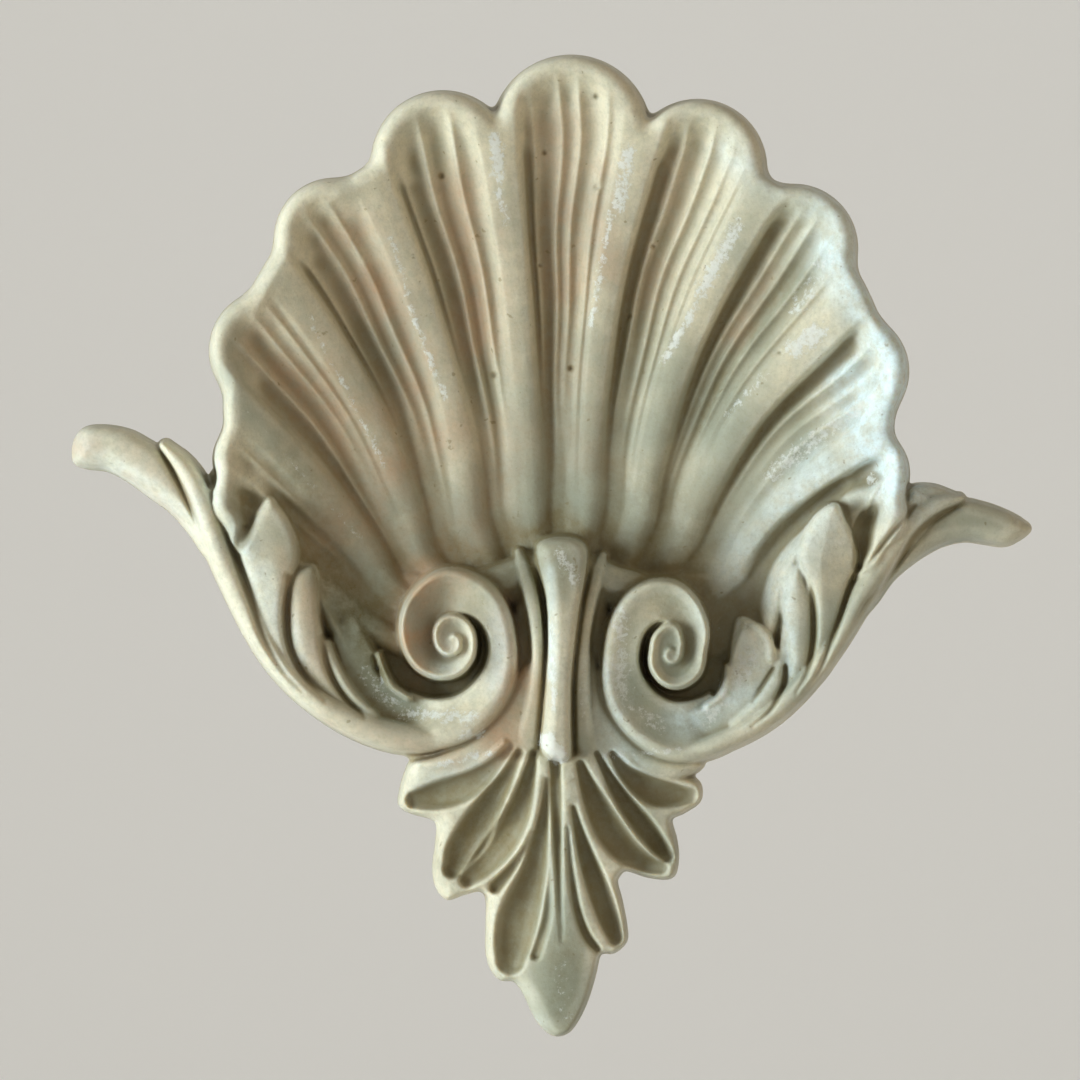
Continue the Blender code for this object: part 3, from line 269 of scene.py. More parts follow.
def shellBowl(x, z):
    # the hollow of the shell, without its flutes
    cx, cz, a, b = bowl
    dx, dz = x - deepest[0], z - deepest[1]
    ex, ez = cx - deepest[0], cz - deepest[1]
    qa = (ex / a) ** 2 + (ez / b) ** 2 - 1
    qb = -2 * (dx * ex / a**2 + dz * ez / b**2)
    qc = (dx / a) ** 2 + (dz / b) ** 2
    ring = (-qb - np.sqrt(np.maximum(qb**2 - 4 * qa * qc, 0))) / (2 * qa)
    rise = np.clip(ring, 0, 1.15) ** shell["steepness"]
    rise = np.minimum(rise, 1 + 0.2 * (rise - 1))
    return shell["floor"] + (shell["rim"] - shell["floor"]) * rise


def fluteOf(x, z):
    # which flute a point lies in, and how far across it, from 0 to 1
    across, up = x - shell["pole"][0], z - shell["pole"][1]
    reach = np.hypot(across, up)
    angle = np.degrees(np.arctan2(across, up))
    bent = [np.interp(reach, line[:, 0], line[:, 1]) for line in ribbonLines]
    number = np.zeros(x.shape, int)
    share = np.zeros(x.shape)
    for i in range(len(bent) - 1):
        here = (angle >= bent[i]) if i else np.ones(x.shape, bool)
        number = np.where(here, i, number)
        share = np.where(here, (angle - bent[i]) / (bent[i + 1] - bent[i]), share)
    return number, np.clip(share, 0, 1), reach


def striaeOf(number, v):
    # cusped scoops between the fine ridges of each flute
    scoop = np.zeros(v.shape)
    for i, places in enumerate(ridges):
        marks = (0.0, *places, 1.0)
        mine = number == i
        for a, b in zip(marks[:-1], marks[1:]):
            t = (v - a) / (b - a)
            arc = 4 * t * (1 - t) * min((b - a) / 0.27, 1.2)
            scoop = np.where(mine & (t >= 0) & (t <= 1), arc, scoop)
    return scoop


def carveShell(relief):
    x, z = relief.x / unit, relief.z / unit
    inside = shellOutline(x, z)
    number, u, reach = fluteOf(x, z)
    nearRim = ramp(reach, 15, 60)
    half = 0.5 * (shell["ribbonAtPole"] + (shell["ribbonAtRim"] - shell["ribbonAtPole"]) * nearRim)
    v = np.clip((u - half) / (1 - 2 * half), 0, 1)
    v = np.clip(v + 0.02 * np.sin(0.35 * reach + 1.7 * number) * np.sin(np.pi * v), 0, 1)
    # each flute drops beside the ribbon on its left and climbs gently to the next one
    soft = 1 - ramp(reach, 24, 52)
    hollow = ramp(v, 0, 0.11 + 0.12 * soft) * ramp(1 - v, -0.05, 0.55 - 0.1 * soft) * (1.1 - 0.25 * v)
    ribbon = np.maximum(1 - (np.minimum(u, 1 - u) / half) ** 2, 0)
    lip = ramp(inside, 0.2, shell["lip"])
    fade = ramp(reach, 27 + 6 * np.sin(2.3 * number + 8 * v), 52)
    surface = shellBowl(x, z)
    flute = lip * shell["fluteDepth"] * (0.35 + 0.65 * nearRim) * hollow
    surface = surface - flute
    # the flutes take a little painted shade as well
    relief.cut += 0.09 * flute
    surface = surface - ramp(inside, 1.2, 5.0) * shell["striaDepth"] * fade * striaeOf(number, v)
    surface = surface + lip * 0.18 * shell["fluteDepth"] * ribbon
    relief.add(walled(inside * unit, surface, shell["rimRound"]))


def carveFolds(relief):
    # the lowest flutes fold over themselves above the arms' leaves
    for rows in (
        ((38, 22.4, 0.8, 0.94), (34.5, 21.2, 1.5, 0.84), (30.5, 19.2, 1.7, 0.71), (26.5, 16, 1.8, 0.57),
         (23, 12.4, 1.7, 0.47), (20.4, 8.8, 1.4, 0.39)),
        ((-39, 21.8, 0.7, 0.9), (-36.6, 20.6, 1.2, 0.81), (-33.8, 18.4, 1.4, 0.68), (-30, 14.8, 1.4, 0.53),
         (-26, 10.4, 1.2, 0.41)),
    ):
        relief.mound(rows, shell["rim"])
    for rows in (
        ((-38.4, 19.4, 1.6, 0.76), (-37, 16.8, 2.4, 0.78), (-36.2, 14.2, 2.4, 0.76),
         (-36.8, 11.4, 1.8, 0.7)),
        ((36.6, 18.4, 1.4, 0.86), (35.6, 16.6, 1.8, 0.84), (34.8, 14.4, 1.6, 0.78)),
    ):
        relief.mound(rows, shell["rim"], 0.0012)
    for rows in (
        ((36.2, 18.6, 0.9, 0.12), (31.5, 17.2, 1.2, 0.16), (27, 14.2, 1.2, 0.16), (23.6, 10.6, 1.2, 0.14),
         (21, 7, 0.8, 0)),
        ((-37.6, 18.4, 1, 0.06), (-36.4, 15.6, 1.2, 0.12), (-36, 13, 1.2, 0.22), (-36.8, 11, 1, 0.25)),
        ((35.8, 15.4, 1, 0.1), (34.8, 13, 1.4, 0.35), (34.4, 10.8, 1.3, 0.45), (33.8, 8.6, 0.8, 0.4)),
    ):
        relief.groove(rows, shell["pocket"])


# Volutes. Each is a spiral of ridges, and each ridge falls inwards to the foot of the next.
volutes = {
    "height": 0.0135,          # of its eye
    "outerShare": 0.80,        # where the arm runs in, lower still by tailDrop at its very start
    "tailDrop": 0.16,
    "drop": 0.0070,            # down to the ground inside its outer band
}
# A centre, then rows: angle, outer edge, width of the band, fall across it, width of its flat rim.
leftVolute = (-12.67, 0.23)
leftSpiral = (
    (-128, 14.8, 7, 1.4, 2.4), (-90, 12.4, 5.4, 1.4, 2.4), (-50, 9.7, 4.2, 0.9, 1.6), (0, 7.4, 3, 0.4, 1.1),
    (60, 7.7, 4.2, 1.1, 0.9), (95, 7.9, 4.8, 2.2, 0.7), (130, 6.9, 4.5, 2.9, 0.5), (180, 5.7, 3.5, 3, 0.5),
    (225, 5.2, 3, 2.6, 0.5), (270, 4.5, 2.4, 2, 0.5), (315, 3.5, 1.6, 1.5, 0.5),
    (360, 2.85, 1.5, 1.2, 0.45), (450, 2.8, 1.6, 1.1, 0.4), (540, 2, 1.2, 0.8, 0.3),
    (630, 2, 1.2, 0.7, 0.3), (720, 1.1, 0.9, 0.4, 0.3), (765, 0.75, 0.7, 0.2, 0.3),
    (810, 0.4, 0.4, 0.1, 0.2), (850, 0.1, 0.2, 0, 0.1),
)
rightVolute = (12.79, -1.15)
rightSpiral = (
    (-132, 13.4, 6.8, 1.4, 0.9), (-90, 12.6, 6.6, 1.7, 1.3), (-50, 10.4, 5.5, 1.4, 1),
    (0, 8, 3.9, 0.8, 0.5), (60, 8.4, 4.4, 1, 0.5), (90, 7.9, 4.8, 1.5, 0.5), (113, 6.5, 4, 1.9, 0.5),
    (135, 5.2, 3.4, 2, 0.5), (180, 3.7, 2.4, 1.9, 0.4), (225, 4.1, 2.3, 1.6, 0.4), (270, 4.3, 2, 1.3, 0.4),
    (315, 3.5, 1.6, 1, 0.4), (360, 2.75, 1.3, 0.8, 0.4), (405, 3, 1.5, 0.9, 0.4),
    (450, 3.15, 1.7, 0.9, 0.4), (480, 1.9, 1.1, 0.7, 0.35), (510, 1.25, 0.9, 0.5, 0.3),
    (540, 1.05, 0.8, 0.4, 0.3), (585, 1.2, 0.8, 0.4, 0.3), (630, 1.6, 0.9, 0.4, 0.3),
    (675, 1.5, 0.9, 0.3, 0.3), (720, 1, 0.7, 0.2, 0.3), (765, 0.6, 0.5, 0.1, 0.2), (810, 0.2, 0.2, 0, 0.1),
)


def carveVolute(relief, centre, mirror, rows):
    # a point meets the spiral once in each turn, so each turn is a form of its own
    where = relief.window(np.array([centre]) * unit, 18 * unit)
    x = (relief.x[where] / unit - centre[0]) * mirror
    z = relief.z[where] / unit - centre[1]
    reach = np.hypot(x, z)
    turn = np.degrees(np.arctan2(z, x)) % 360
    line = smoothRows(rows, 400)
    order = np.argsort(line[:, 0])
    angles = line[order, 0]
    for k in range(-1, 3):
        angle = turn + 360 * k
        edge, band, fall, rim = (np.interp(angle, angles, line[order, i]) for i in range(1, 5))
        inside = edge - reach
        s = np.clip((inside - rim) / np.maximum(band - rim, 0.3), 0, 1)
        share = volutes["outerShare"] + (1 - volutes["outerShare"]) * ramp(angle, -150, 80)
        share = share - volutes["tailDrop"] * (1 - ramp(angle, rows[0][0], rows[0][0] + 34))
        drop = volutes["drop"] * (1 - ramp(angle, -20, 105)) * ramp(inside, band, band + 0.8)
        surface = share * volutes["height"] - fall * unit * (1 - (1 - s) ** 2) - drop
        rounder = 1 - ramp(angle, 20, 110)
        rounding = cast["thinEdge"] + (cast["edgeRound"] * 1.2 - cast["thinEdge"]) * rounder
        form = walled(inside * unit, surface, rounding)
        drawn = (angle >= rows[0][0]) & (angle <= rows[-1][0])
        relief.add(np.where(drawn, form, -1.0), where)


arms = {
    "web": 0.0048,             # the thin body behind the leaves
    "bed": 0.0094,
    "rib": 0.0110,
    "leaf": 0.0132,            # the thin leaves take shares of it
    "leftWing": 0.0090,
    "rightWing": 0.0086,
    "leftLeaves": (0.0113, 0.0103),
    "rightLeaves": (0.0115, 0.0106),
    "leftChannel": 0.0080,
    "rightChannel": 0.0088,
    "crease": 0.0009,
}


def carveWeb(relief):
    # the thin body behind the arms and the palmette, and the bed of each arm's leaves
    relief.plate((
        (-39.8, 10.5), (-36.9, 4.5), (-33.9, -1), (-30.6, -5.4), (-25.8, -8.9), (-20, -11.9),
        (-17.4, -13.7), (-17.5, -16), (-14.2, -20.6), (-11, -24), (-8.6, -28.6), (-6.5, -34), (-4.5, -39),
        (4, -37), (5.8, -28.3), (7.3, -26.3), (12, -20.4), (15.2, -16), (15.3, -14.2), (20, -12.2),
        (25.2, -8.8), (29.6, -4.2), (32.9, 0.8), (35.6, 5.2), (38.2, 9), (41.8, 16.7), (39, 17.6), (36, 14),
        (28, 12), (22, 8), (-22, 8), (-30, 12), (-38, 18), (-40.4, 19.4), (-41, 14),
    ), arms["web"])
    for rows in (
        ((-31, 11, 1.6, 0.62), (-28.6, 7, 2.8, 0.68), (-26.8, 3, 3.4, 0.64), (-24.6, -1, 2.8, 0.6)),
        ((31.4, 14.6, 2.4, 0.84), (28.2, 11.6, 3.6, 0.82), (25.8, 7.6, 4.8, 0.76), (24.4, 3.2, 4.8, 0.7),
         (23.4, -1, 3.6, 0.66)),
    ):
        relief.mound(rows, arms["leaf"], 0.0010)
    for corners in (
        ((-41.4, 17.6), (-40.9, 14.5), (-39, 9.8), (-36.6, 4.5), (-33.6, -1), (-30.1, -5.2), (-25.4, -8.5),
         (-20, -11.3), (-14, -12.1), (-9.5, -10.5), (-12, -9.8), (-16.4, -10.4), (-20.2, -9.8),
         (-22.8, -7.4), (-24.9, -4.4), (-26.4, -1.4), (-27.4, 0.6), (-28.1, 4), (-28.6, 7.9), (-30.6, 10),
         (-32.6, 14), (-35.6, 12), (-37.4, 11.6), (-38.6, 14), (-39.7, 17.4)),
        ((42, 16.4), (39.4, 11.6), (37.4, 8.2), (35.3, 5.2), (32.5, 0.8), (29.3, -4.2), (25, -8.4),
         (20, -11.7), (14, -12.9), (10, -12.3), (8, -9.8), (12, -8.2), (16, -7.8), (18.2, -6.3), (19, -4),
         (19.6, -1), (20.6, 1.6), (23, 1.2), (24.8, -1), (25.6, 4), (26.6, 7), (27.9, 12), (30.6, 15),
         (33, 10), (35.4, 10.2), (38.2, 14.2), (40.4, 17.2)),
    ):
        relief.plate(corners, arms["bed"], cast["thinEdge"])


def carveLeftArm(relief):
    # the wing lobe, squared at its end, and the rib behind it that runs down as the arm's rim
    relief.panel((
        (-56.2, 20.7), (-56.1, 22.9), (-54.9, 24.3), (-52.6, 24.5), (-50, 24), (-48, 23), (-46, 21.6),
        (-44.4, 19.6), (-42.9, 17.4), (-41.5, 14.6), (-40.4, 11.6), (-39.4, 8.4), (-41, 9.8), (-42.8, 12.4),
        (-45, 14.9), (-47.2, 16.5), (-50, 18.5), (-52.4, 19.7), (-54.8, 20),
    ), arms["leftWing"], slope=(0.12, 0.02), rounding=0.0016, lean=0.3, crown=0.0008)
    relief.blade((
        (-45.7, 22.3, 0.5, 0.8), (-43.7, 20.2, 1, 0.88), (-42.1, 17.5, 1.3, 0.94), (-40.6, 14, 1.4, 0.98),
        (-39.2, 10, 1.4, 1), (-37.4, 6, 1.4, 1), (-35.5, 2, 1.3, 1), (-33.4, -1.7, 1.2, 1),
        (-30.7, -4.9, 1.2, 1), (-27.3, -7.6, 1.3, 1), (-23.5, -9.6, 1.55, 1), (-19.5, -10.9, 1.7, 1),
        (-16, -11.4, 1.5, 0.98), (-13, -11, 1.2, 0.92),
    ), arms["rib"], crown=0.0005, rounding=0.0016, blend=0.0004)
    # the three large leaves, from the outside in
    relief.panel((
        (-33.8, 16.3), (-32.4, 15.2), (-31.2, 13.4), (-30.4, 11.4), (-30.2, 9.4), (-30.9, 7.4), (-31.5, 5),
        (-31.6, 2.2), (-31.2, -0.6), (-30, -3.4), (-28.6, -5.6), (-30.4, -5), (-32.3, -2.8), (-33.9, 0.4),
        (-35.1, 4), (-36.2, 7.6), (-36.8, 10.2), (-35.9, 12.6),
    ), arms["leftLeaves"][0], slope=(-0.05, 0.11), fall=0.14,
        ridge=((-36.5, 10.4), (-32.8, 8.4), (-32.9, 2), (-31, -3.6)), rounding=0.0010, lean=0.3, blend=0.0005)
    relief.panel((
        (-30.4, 8), (-29.4, 8.6), (-28.3, 8.6), (-28, 7), (-27.9, 3.6), (-27.5, 0.4), (-26.7, -2.6),
        (-25.2, -5.4), (-23, -7.8), (-21.4, -9.4), (-24.4, -8.6), (-27.6, -6), (-29.5, -3.4), (-30.8, -1),
        (-31.3, 1.6), (-31.4, 4.6), (-31.1, 6.8),
    ), arms["leftLeaves"][1], slope=(-0.08, 0.03), rounding=0.0010, lean=0.3, crown=0.0004, blend=0.0005)
    # the powdery channel that carries on into the volute, and the thin leaf along it
    relief.panel((
        (-24.2, 3), (-25.3, 2.3), (-26.2, 1), (-26.3, -0.7), (-25.4, -3.2), (-24.2, -5.4), (-22.6, -7.6),
        (-20.6, -9.6), (-18.4, -10.8), (-15.2, -11), (-14.6, -9), (-15.2, -7.6), (-17.2, -6.6),
        (-18.8, -5.2), (-19.9, -3.6), (-20.7, -2.2), (-21.6, -0.8), (-22.6, 0.8), (-23.4, 2.4),
    ), arms["leftChannel"], slope=(-0.04, -0.10), rounding=0.0006, blend=0.0006)
    relief.blade((
        (-26.8, -0.1, 0.25, 0.64), (-26.2, -2.2, 0.5, 0.7), (-25.1, -4.5, 0.6, 0.74),
        (-23.5, -6.7, 0.6, 0.76), (-21.4, -8.7, 0.5, 0.77),
    ), arms["leaf"], rounding=cast["thinEdge"], blend=0.0004)
    # a sliver on the inner side, then the creases that part the leaves
    relief.blade((
        (-21, -1.5, 0.25, 0.66), (-20.4, -3.5, 0.4, 0.71), (-19.4, -5.3, 0.4, 0.73),
        (-17.6, -6.6, 0.3, 0.73),
    ), arms["leaf"], rounding=0.0003)
    for rows in (
        ((-46.3, 22, 0.4, 0.5), (-44.4, 19, 0.5, 0.7), (-42.4, 15.2, 0.5, 0.6), (-40.6, 10.4, 0.4, 0.2)),
        ((-38.3, 12.2, 0.4, 0.3), (-37.6, 9.6, 0.5, 0.6), (-37, 7.6, 0.45, 0.7), (-35.7, 4.4, 0.45, 0.8),
         (-34.3, 0.6, 0.5, 0.8), (-32, -3.4, 0.4, 0.4), (-29.6, -6, 0.3, 0.2)),
        ((-31.3, 7.4, 0.5, 0.8), (-31.7, 3, 0.6, 1.1), (-31.3, -0.8, 0.5, 1), (-29.4, -4.4, 0.4, 0.7),
         (-27, -7, 0.3, 0.3)),
        ((-27.6, 0.4, 0.5, 0.7), (-26.9, -3, 0.45, 1), (-25.3, -6, 0.4, 1), (-22.6, -8.8, 0.3, 0.5)),
        ((-26.2, -0.4, 0.25, 0.5), (-25.4, -2.8, 0.3, 0.6), (-24, -5.4, 0.3, 0.5), (-22, -7.6, 0.25, 0.3)),
        ((-21.6, -1.9, 0.3, 0.7), (-21.1, -3.2, 0.4, 0.9), (-20.4, -4.6, 0.3, 0.5)),
    ):
        relief.groove(rows, arms["crease"])


def carveRightArm(relief):
    relief.panel((
        (54, 12.8), (52.9, 13.9), (50.6, 15), (48.4, 15.7), (46.4, 16), (44.2, 15), (42, 13.6),
        (40.2, 11.6), (38.6, 9.4), (37, 6.8), (35.4, 4.2), (34.2, 2.2), (36.2, 4.4), (38, 6.9), (40, 8.7),
        (42.4, 10.3), (44.4, 11.2), (46.6, 11.6), (48.8, 11.3), (51, 11), (52.6, 11.6),
    ), arms["rightWing"], slope=(-0.11, 0.05), rounding=0.0013, crown=0.0006)
    relief.blade((
        (45.9, 16.3, 0.35, 0.78), (44, 15.7, 1, 0.84), (41.8, 14.7, 1.35, 0.89), (39.7, 12.9, 1.6, 0.93),
        (38, 10.8, 1.6, 0.97), (36.4, 8.4, 1.5, 1), (34.6, 5.4, 1.4, 1), (32, 0.7, 1.2, 1),
        (29.9, -2.3, 1.2, 1), (27.4, -5.4, 1.25, 1), (24.3, -8.3, 1.25, 1), (21.2, -10.3, 1.2, 1),
        (18.1, -11.7, 1.1, 1), (15.3, -12.5, 1, 0.97), (12.8, -12.7, 0.8, 0.92),
    ), arms["rib"], crown=0.0005, rounding=0.0012, blend=0.0004)
    relief.blade((
        (45, 16.5, 0.4, 0.7), (42.6, 16.9, 0.8, 0.72), (40.3, 16.2, 1.2, 0.76), (38, 13.6, 1.3, 0.8),
        (35.8, 10.6, 1, 0.84),
    ), arms["rib"], blend=0.0006, rounding=0.0008)
    relief.blade((
        (34.5, 7.6, 0.4, 0.94), (33.9, 5.5, 1, 0.96), (32.6, 2.5, 1.1, 0.96), (31.2, -0.5, 1.1, 0.95),
        (29.6, -3.2, 1, 0.94), (27.5, -5.8, 0.9, 0.92),
    ), arms["rib"], crown=0.0003, rounding=0.0008, blend=0.0004)
    relief.panel((
        (31.4, 15.6), (32.4, 13.8), (33.4, 11.6), (33.9, 9.6), (33.5, 7.4), (32.4, 4.6), (31.4, 1.6),
        (30.3, -1.6), (28.6, -4.6), (26.6, -7), (27.4, -3.8), (28.2, -0.6), (28.5, 3), (28, 6.4),
        (27.2, 8.4), (27.1, 10.6), (28, 12.8), (29.6, 14.8),
    ), arms["rightLeaves"][0], slope=(0.0, 0.11), fall=0.20,
        ridge=((30.8, 15.0), (30.2, 11.5), (29.6, 8.4), (29.9, 2), (28.8, -4)),
        rounding=0.0009, lean=0.5, blend=0.0005)
    relief.panel((
        (27.1, 8.7), (26.1, 7.9), (25.4, 6.2), (25.2, 4), (25.4, 1.6), (25.8, -1), (25.9, -3.4), (25.2, -6),
        (23.4, -9), (26, -7.6), (27.6, -4.8), (28.4, -2), (28.7, 1), (28.6, 4.2), (27.8, 6.8),
    ), arms["rightLeaves"][1], slope=(0.0, 0.03), fall=0.20,
        ridge=((26.8, 7.4), (27.1, 3), (27.0, -1), (26.2, -5)), rounding=0.0009, lean=0.4, blend=0.0005)
    relief.panel((
        (20.3, 2.5), (21.8, 2.4), (23.2, 1.4), (24.3, -0.1), (24.5, -1.8), (24, -3.4), (23.2, -5.2),
        (22, -7.2), (20.6, -9), (18.6, -10.6), (15.6, -11.2), (13.6, -9.8), (15.2, -8), (17.3, -7.2),
        (18.7, -6), (19.3, -4.5), (19.3, -3), (19.4, -1), (19.7, 0.8),
    ), arms["rightChannel"], slope=(0.10, -0.17), rounding=0.0006, blend=0.0006)
    relief.blade((
        (20.9, 2, 0.25, 0.66), (22.6, 1.4, 0.4, 0.72), (23.8, -0.2, 0.5, 0.75), (24, -2, 0.5, 0.76),
    ), arms["leaf"], rounding=cast["thinEdge"], blend=0.0005)
    relief.blade((
        (25.1, -2.8, 0.4, 0.72), (24.7, -4.3, 0.95, 0.77), (23.6, -6.3, 1.1, 0.78), (22, -8.1, 1, 0.78),
        (20, -9.7, 0.8, 0.77),
    ), arms["leaf"], crown=0.0003, rounding=0.0008, blend=0.0005)
    relief.blade((
        (19, -3, 0.25, 0.68), (19.1, -4.6, 0.45, 0.73), (18.3, -6.4, 0.4, 0.74), (16.6, -7.6, 0.3, 0.74),
    ), arms["leaf"], rounding=0.0003)
    for rows in (
        ((46.4, 16, 0.3, 0.5), (43.4, 14.5, 0.45, 1), (40.6, 12.2, 0.5, 1), (38.4, 8.6, 0.45, 0.9),
         (36.4, 5.4, 0.3, 0.3)),
        ((40.6, 15.4, 0.3, 0.3), (38, 12.6, 0.4, 0.8), (36.2, 10.2, 0.4, 0.8), (34.9, 8.6, 0.3, 0.3)),
        ((36.2, 5.9, 0.25, 0.4), (34.9, 4.4, 0.3, 0.7), (33.7, 2.3, 0.25, 0.3)),
        ((34.2, 8.6, 0.35, 0.9), (33, 6.4, 0.4, 1.1), (32, 3, 0.4, 1.1), (30.9, 0, 0.4, 1),
         (29.4, -3.6, 0.3, 0.5), (27.6, -6, 0.25, 0.2)),
        ((28.5, 6.4, 0.2, 0.4), (28.8, 4.4, 0.4, 1.2), (28.9, 0.6, 0.45, 1.3), (28.2, -3.4, 0.35, 0.8),
         (26.8, -6, 0.25, 0.3)),
        ((25.6, -3, 0.3, 0.8), (25.2, -5.6, 0.35, 0.9), (23.9, -8, 0.3, 0.8), (21.8, -9.8, 0.2, 0.3)),
        ((24.3, -3.2, 0.25, 0.6), (23.1, -5.2, 0.3, 0.7), (21.8, -7.2, 0.25, 0.4)),
        ((53.5, 13.9, 0.5, 0.9), (53.2, 13.2, 0.45, 0.6)),
        ((52.3, 14.2, 0.35, 0.7), (52.1, 13.6, 0.3, 0.4)),
    ):
        relief.groove(rows, arms["crease"])


stem = {
    "height": 0.0150,          # the ribs and their bed take shares of it
    "face": 0.01455,
    "web": 0.0094,             # the hinge between the volutes
    "webRound": 0.0044,
    "swell": 0.0100,
    "crease": 0.0006,
}


def carveStem(relief):
    # the hinge web that sags from volute to volute, and the bed of the ribs
    relief.plate((
        (-12, 7.2), (-9.5, 8.2), (-7, 8.9), (-4.6, 9.9), (-2.2, 10.4), (2, 10.2), (4.4, 9.6), (6.6, 8.5),
        (9.4, 7.8), (12, 6.4), (11, 2), (5, 3.6), (0, 4), (-5, 4), (-11, 3),
    ), stem["web"], stem["webRound"], 0.0020)
    relief.blade((
        (0, 7, 4, 0.62), (0, 4, 5.2, 0.6), (-0.15, 0, 5.7, 0.57), (-0.25, -5, 5.6, 0.61),
        (-0.4, -10, 4.6, 0.65), (-0.5, -13, 3.4, 0.58),
    ), stem["height"], rounding=0.0020, blend=0.0014)
    # the swell on each side that fills in under the volute and runs down into the palmette
    relief.panel((
        (-2.6, -2), (-4.6, -3.2), (-6, -5.6), (-8, -8.6), (-10.6, -11.2), (-14.2, -13.2), (-17, -14.2),
        (-14, -14.9), (-9, -14), (-5, -13.2), (-2.6, -12.6), (-2.4, -7),
    ), stem["swell"], slope=(0.06, 0.10), rounding=0.0016, blend=0.0012)
    relief.panel((
        (2.4, -1), (4, -2.4), (5.2, -5.6), (6.8, -9), (9.4, -11.8), (13, -13.4), (16.2, -14.2),
        (13.6, -15.8), (8.6, -15.2), (4.6, -13.8), (2.4, -13.4), (2.2, -8),
    ), stem["swell"], slope=(-0.04, 0.02), rounding=0.0020, blend=0.0018)
    # the stem itself: a flat-topped band that widens upwards, with a rib on each side
    relief.panel((
        (-2.6, 10.7), (-1.6, 11.4), (0, 11.6), (1.4, 11.4), (2.5, 10.6), (2.75, 9.2), (2.5, 6.8),
        (2.1, 4.4), (1.75, 2), (1.4, -1), (1.1, -4), (1, -7), (1, -10), (1, -12.6), (0.5, -13.6),
        (-0.9, -13.6), (-2.1, -12.8), (-2.3, -11.4), (-2, -8), (-1.75, -4), (-1.55, 0), (-1.65, 4),
        (-2, 6.4), (-2.6, 9),
    ), stem["face"], slope=(0.0, 0.06), fall=0.14, ridge=((-0.6, 8), (-0.5, 0), (-0.9, -12)),
        rounding=0.0012, lean=0.4, blend=0.0004)
    relief.blade((
        (-4.9, 10, 0.5, 0.48), (-4.2, 7.8, 0.8, 0.66), (-3.5, 5, 0.85, 0.78), (-2.95, 2, 0.8, 0.8),
        (-2.7, -1, 0.75, 0.8), (-2.8, -4, 0.8, 0.79), (-3.2, -8, 1.1, 0.74), (-3.8, -11, 1.2, 0.68),
        (-4.3, -13, 1, 0.6),
    ), stem["height"], rounding=0.0009, blend=0.0009)
    relief.blade((
        (4.7, 9.6, 0.5, 0.48), (4, 7.6, 0.8, 0.64), (3.4, 5.2, 0.8, 0.75), (2.8, 2.6, 0.8, 0.78),
        (2.45, 0, 0.8, 0.78), (2.25, -4, 0.9, 0.77), (2.3, -8, 1, 0.75), (2.6, -11.6, 1.2, 0.7),
        (3, -13.4, 1, 0.62),
    ), stem["height"], rounding=0.0009, blend=0.0008)
    for rows in (
        ((-3.3, 10.4, 0.3, 0.5), (-2.7, 7.4, 0.4, 1), (-2.1, 4.6, 0.4, 1), (-1.95, 0, 0.4, 1),
         (-2.1, -5, 0.4, 1), (-2.45, -10, 0.35, 0.8), (-2.6, -12.6, 0.3, 0.6)),
        ((3.1, 10, 0.35, 0.7), (2.85, 7, 0.4, 1), (2.3, 4, 0.4, 1), (1.75, 0, 0.4, 1), (1.35, -4, 0.35, 1),
         (1.3, -9, 0.35, 1), (1.4, -13, 0.3, 0.8)),
    ):
        relief.groove(rows, stem["crease"])


palmette = {
    "height": 0.0108,
    "hollow": 0.0021,
    "wider": 1.16,             # of the hollows, from their drawn width
    "fallDown": 0.16,          # how far it falls back for each unit down, and outwards
    "fallOut": 0.18,
    "dip": 0.0030,             # where it goes in under the stem
    "lean": 0.8,
}
# The outline of all seven lobes, from the top left round.
palmetteEdge = (
    (-7, -11), (-12, -13.4), (-16.8, -14), (-17.9, -15.5), (-18.5, -17.6), (-18.6, -19), (-17.4, -19.8),
    (-14.9, -20.5), (-14.2, -21.6), (-14.4, -24), (-14.7, -26.3), (-14.4, -28.4), (-13.3, -29.8),
    (-11.6, -29.3), (-9.6, -28.8), (-8.6, -29.6), (-8.5, -32), (-8.6, -35.5), (-8.2, -37.7), (-7.1, -39.1),
    (-5.5, -39.3), (-4.4, -40.6), (-2.9, -43.7), (-1.6, -45.2), (-0.3, -45.6), (1.1, -44.8), (2.6, -42.1),
    (3.6, -38.9), (4.3, -36.2), (5.9, -36), (7.2, -34.9), (7.3, -33.4), (6.7, -30.3), (6.1, -27.7),
    (7.3, -26.4), (10, -27.2), (12.6, -27.3), (13.2, -25.4), (13, -23.2), (12.4, -20.7), (13.9, -19.8),
    (15.6, -18.7), (15.9, -17.4), (15.4, -16.4), (13.9, -15.8), (9, -14.6), (5, -11),
)
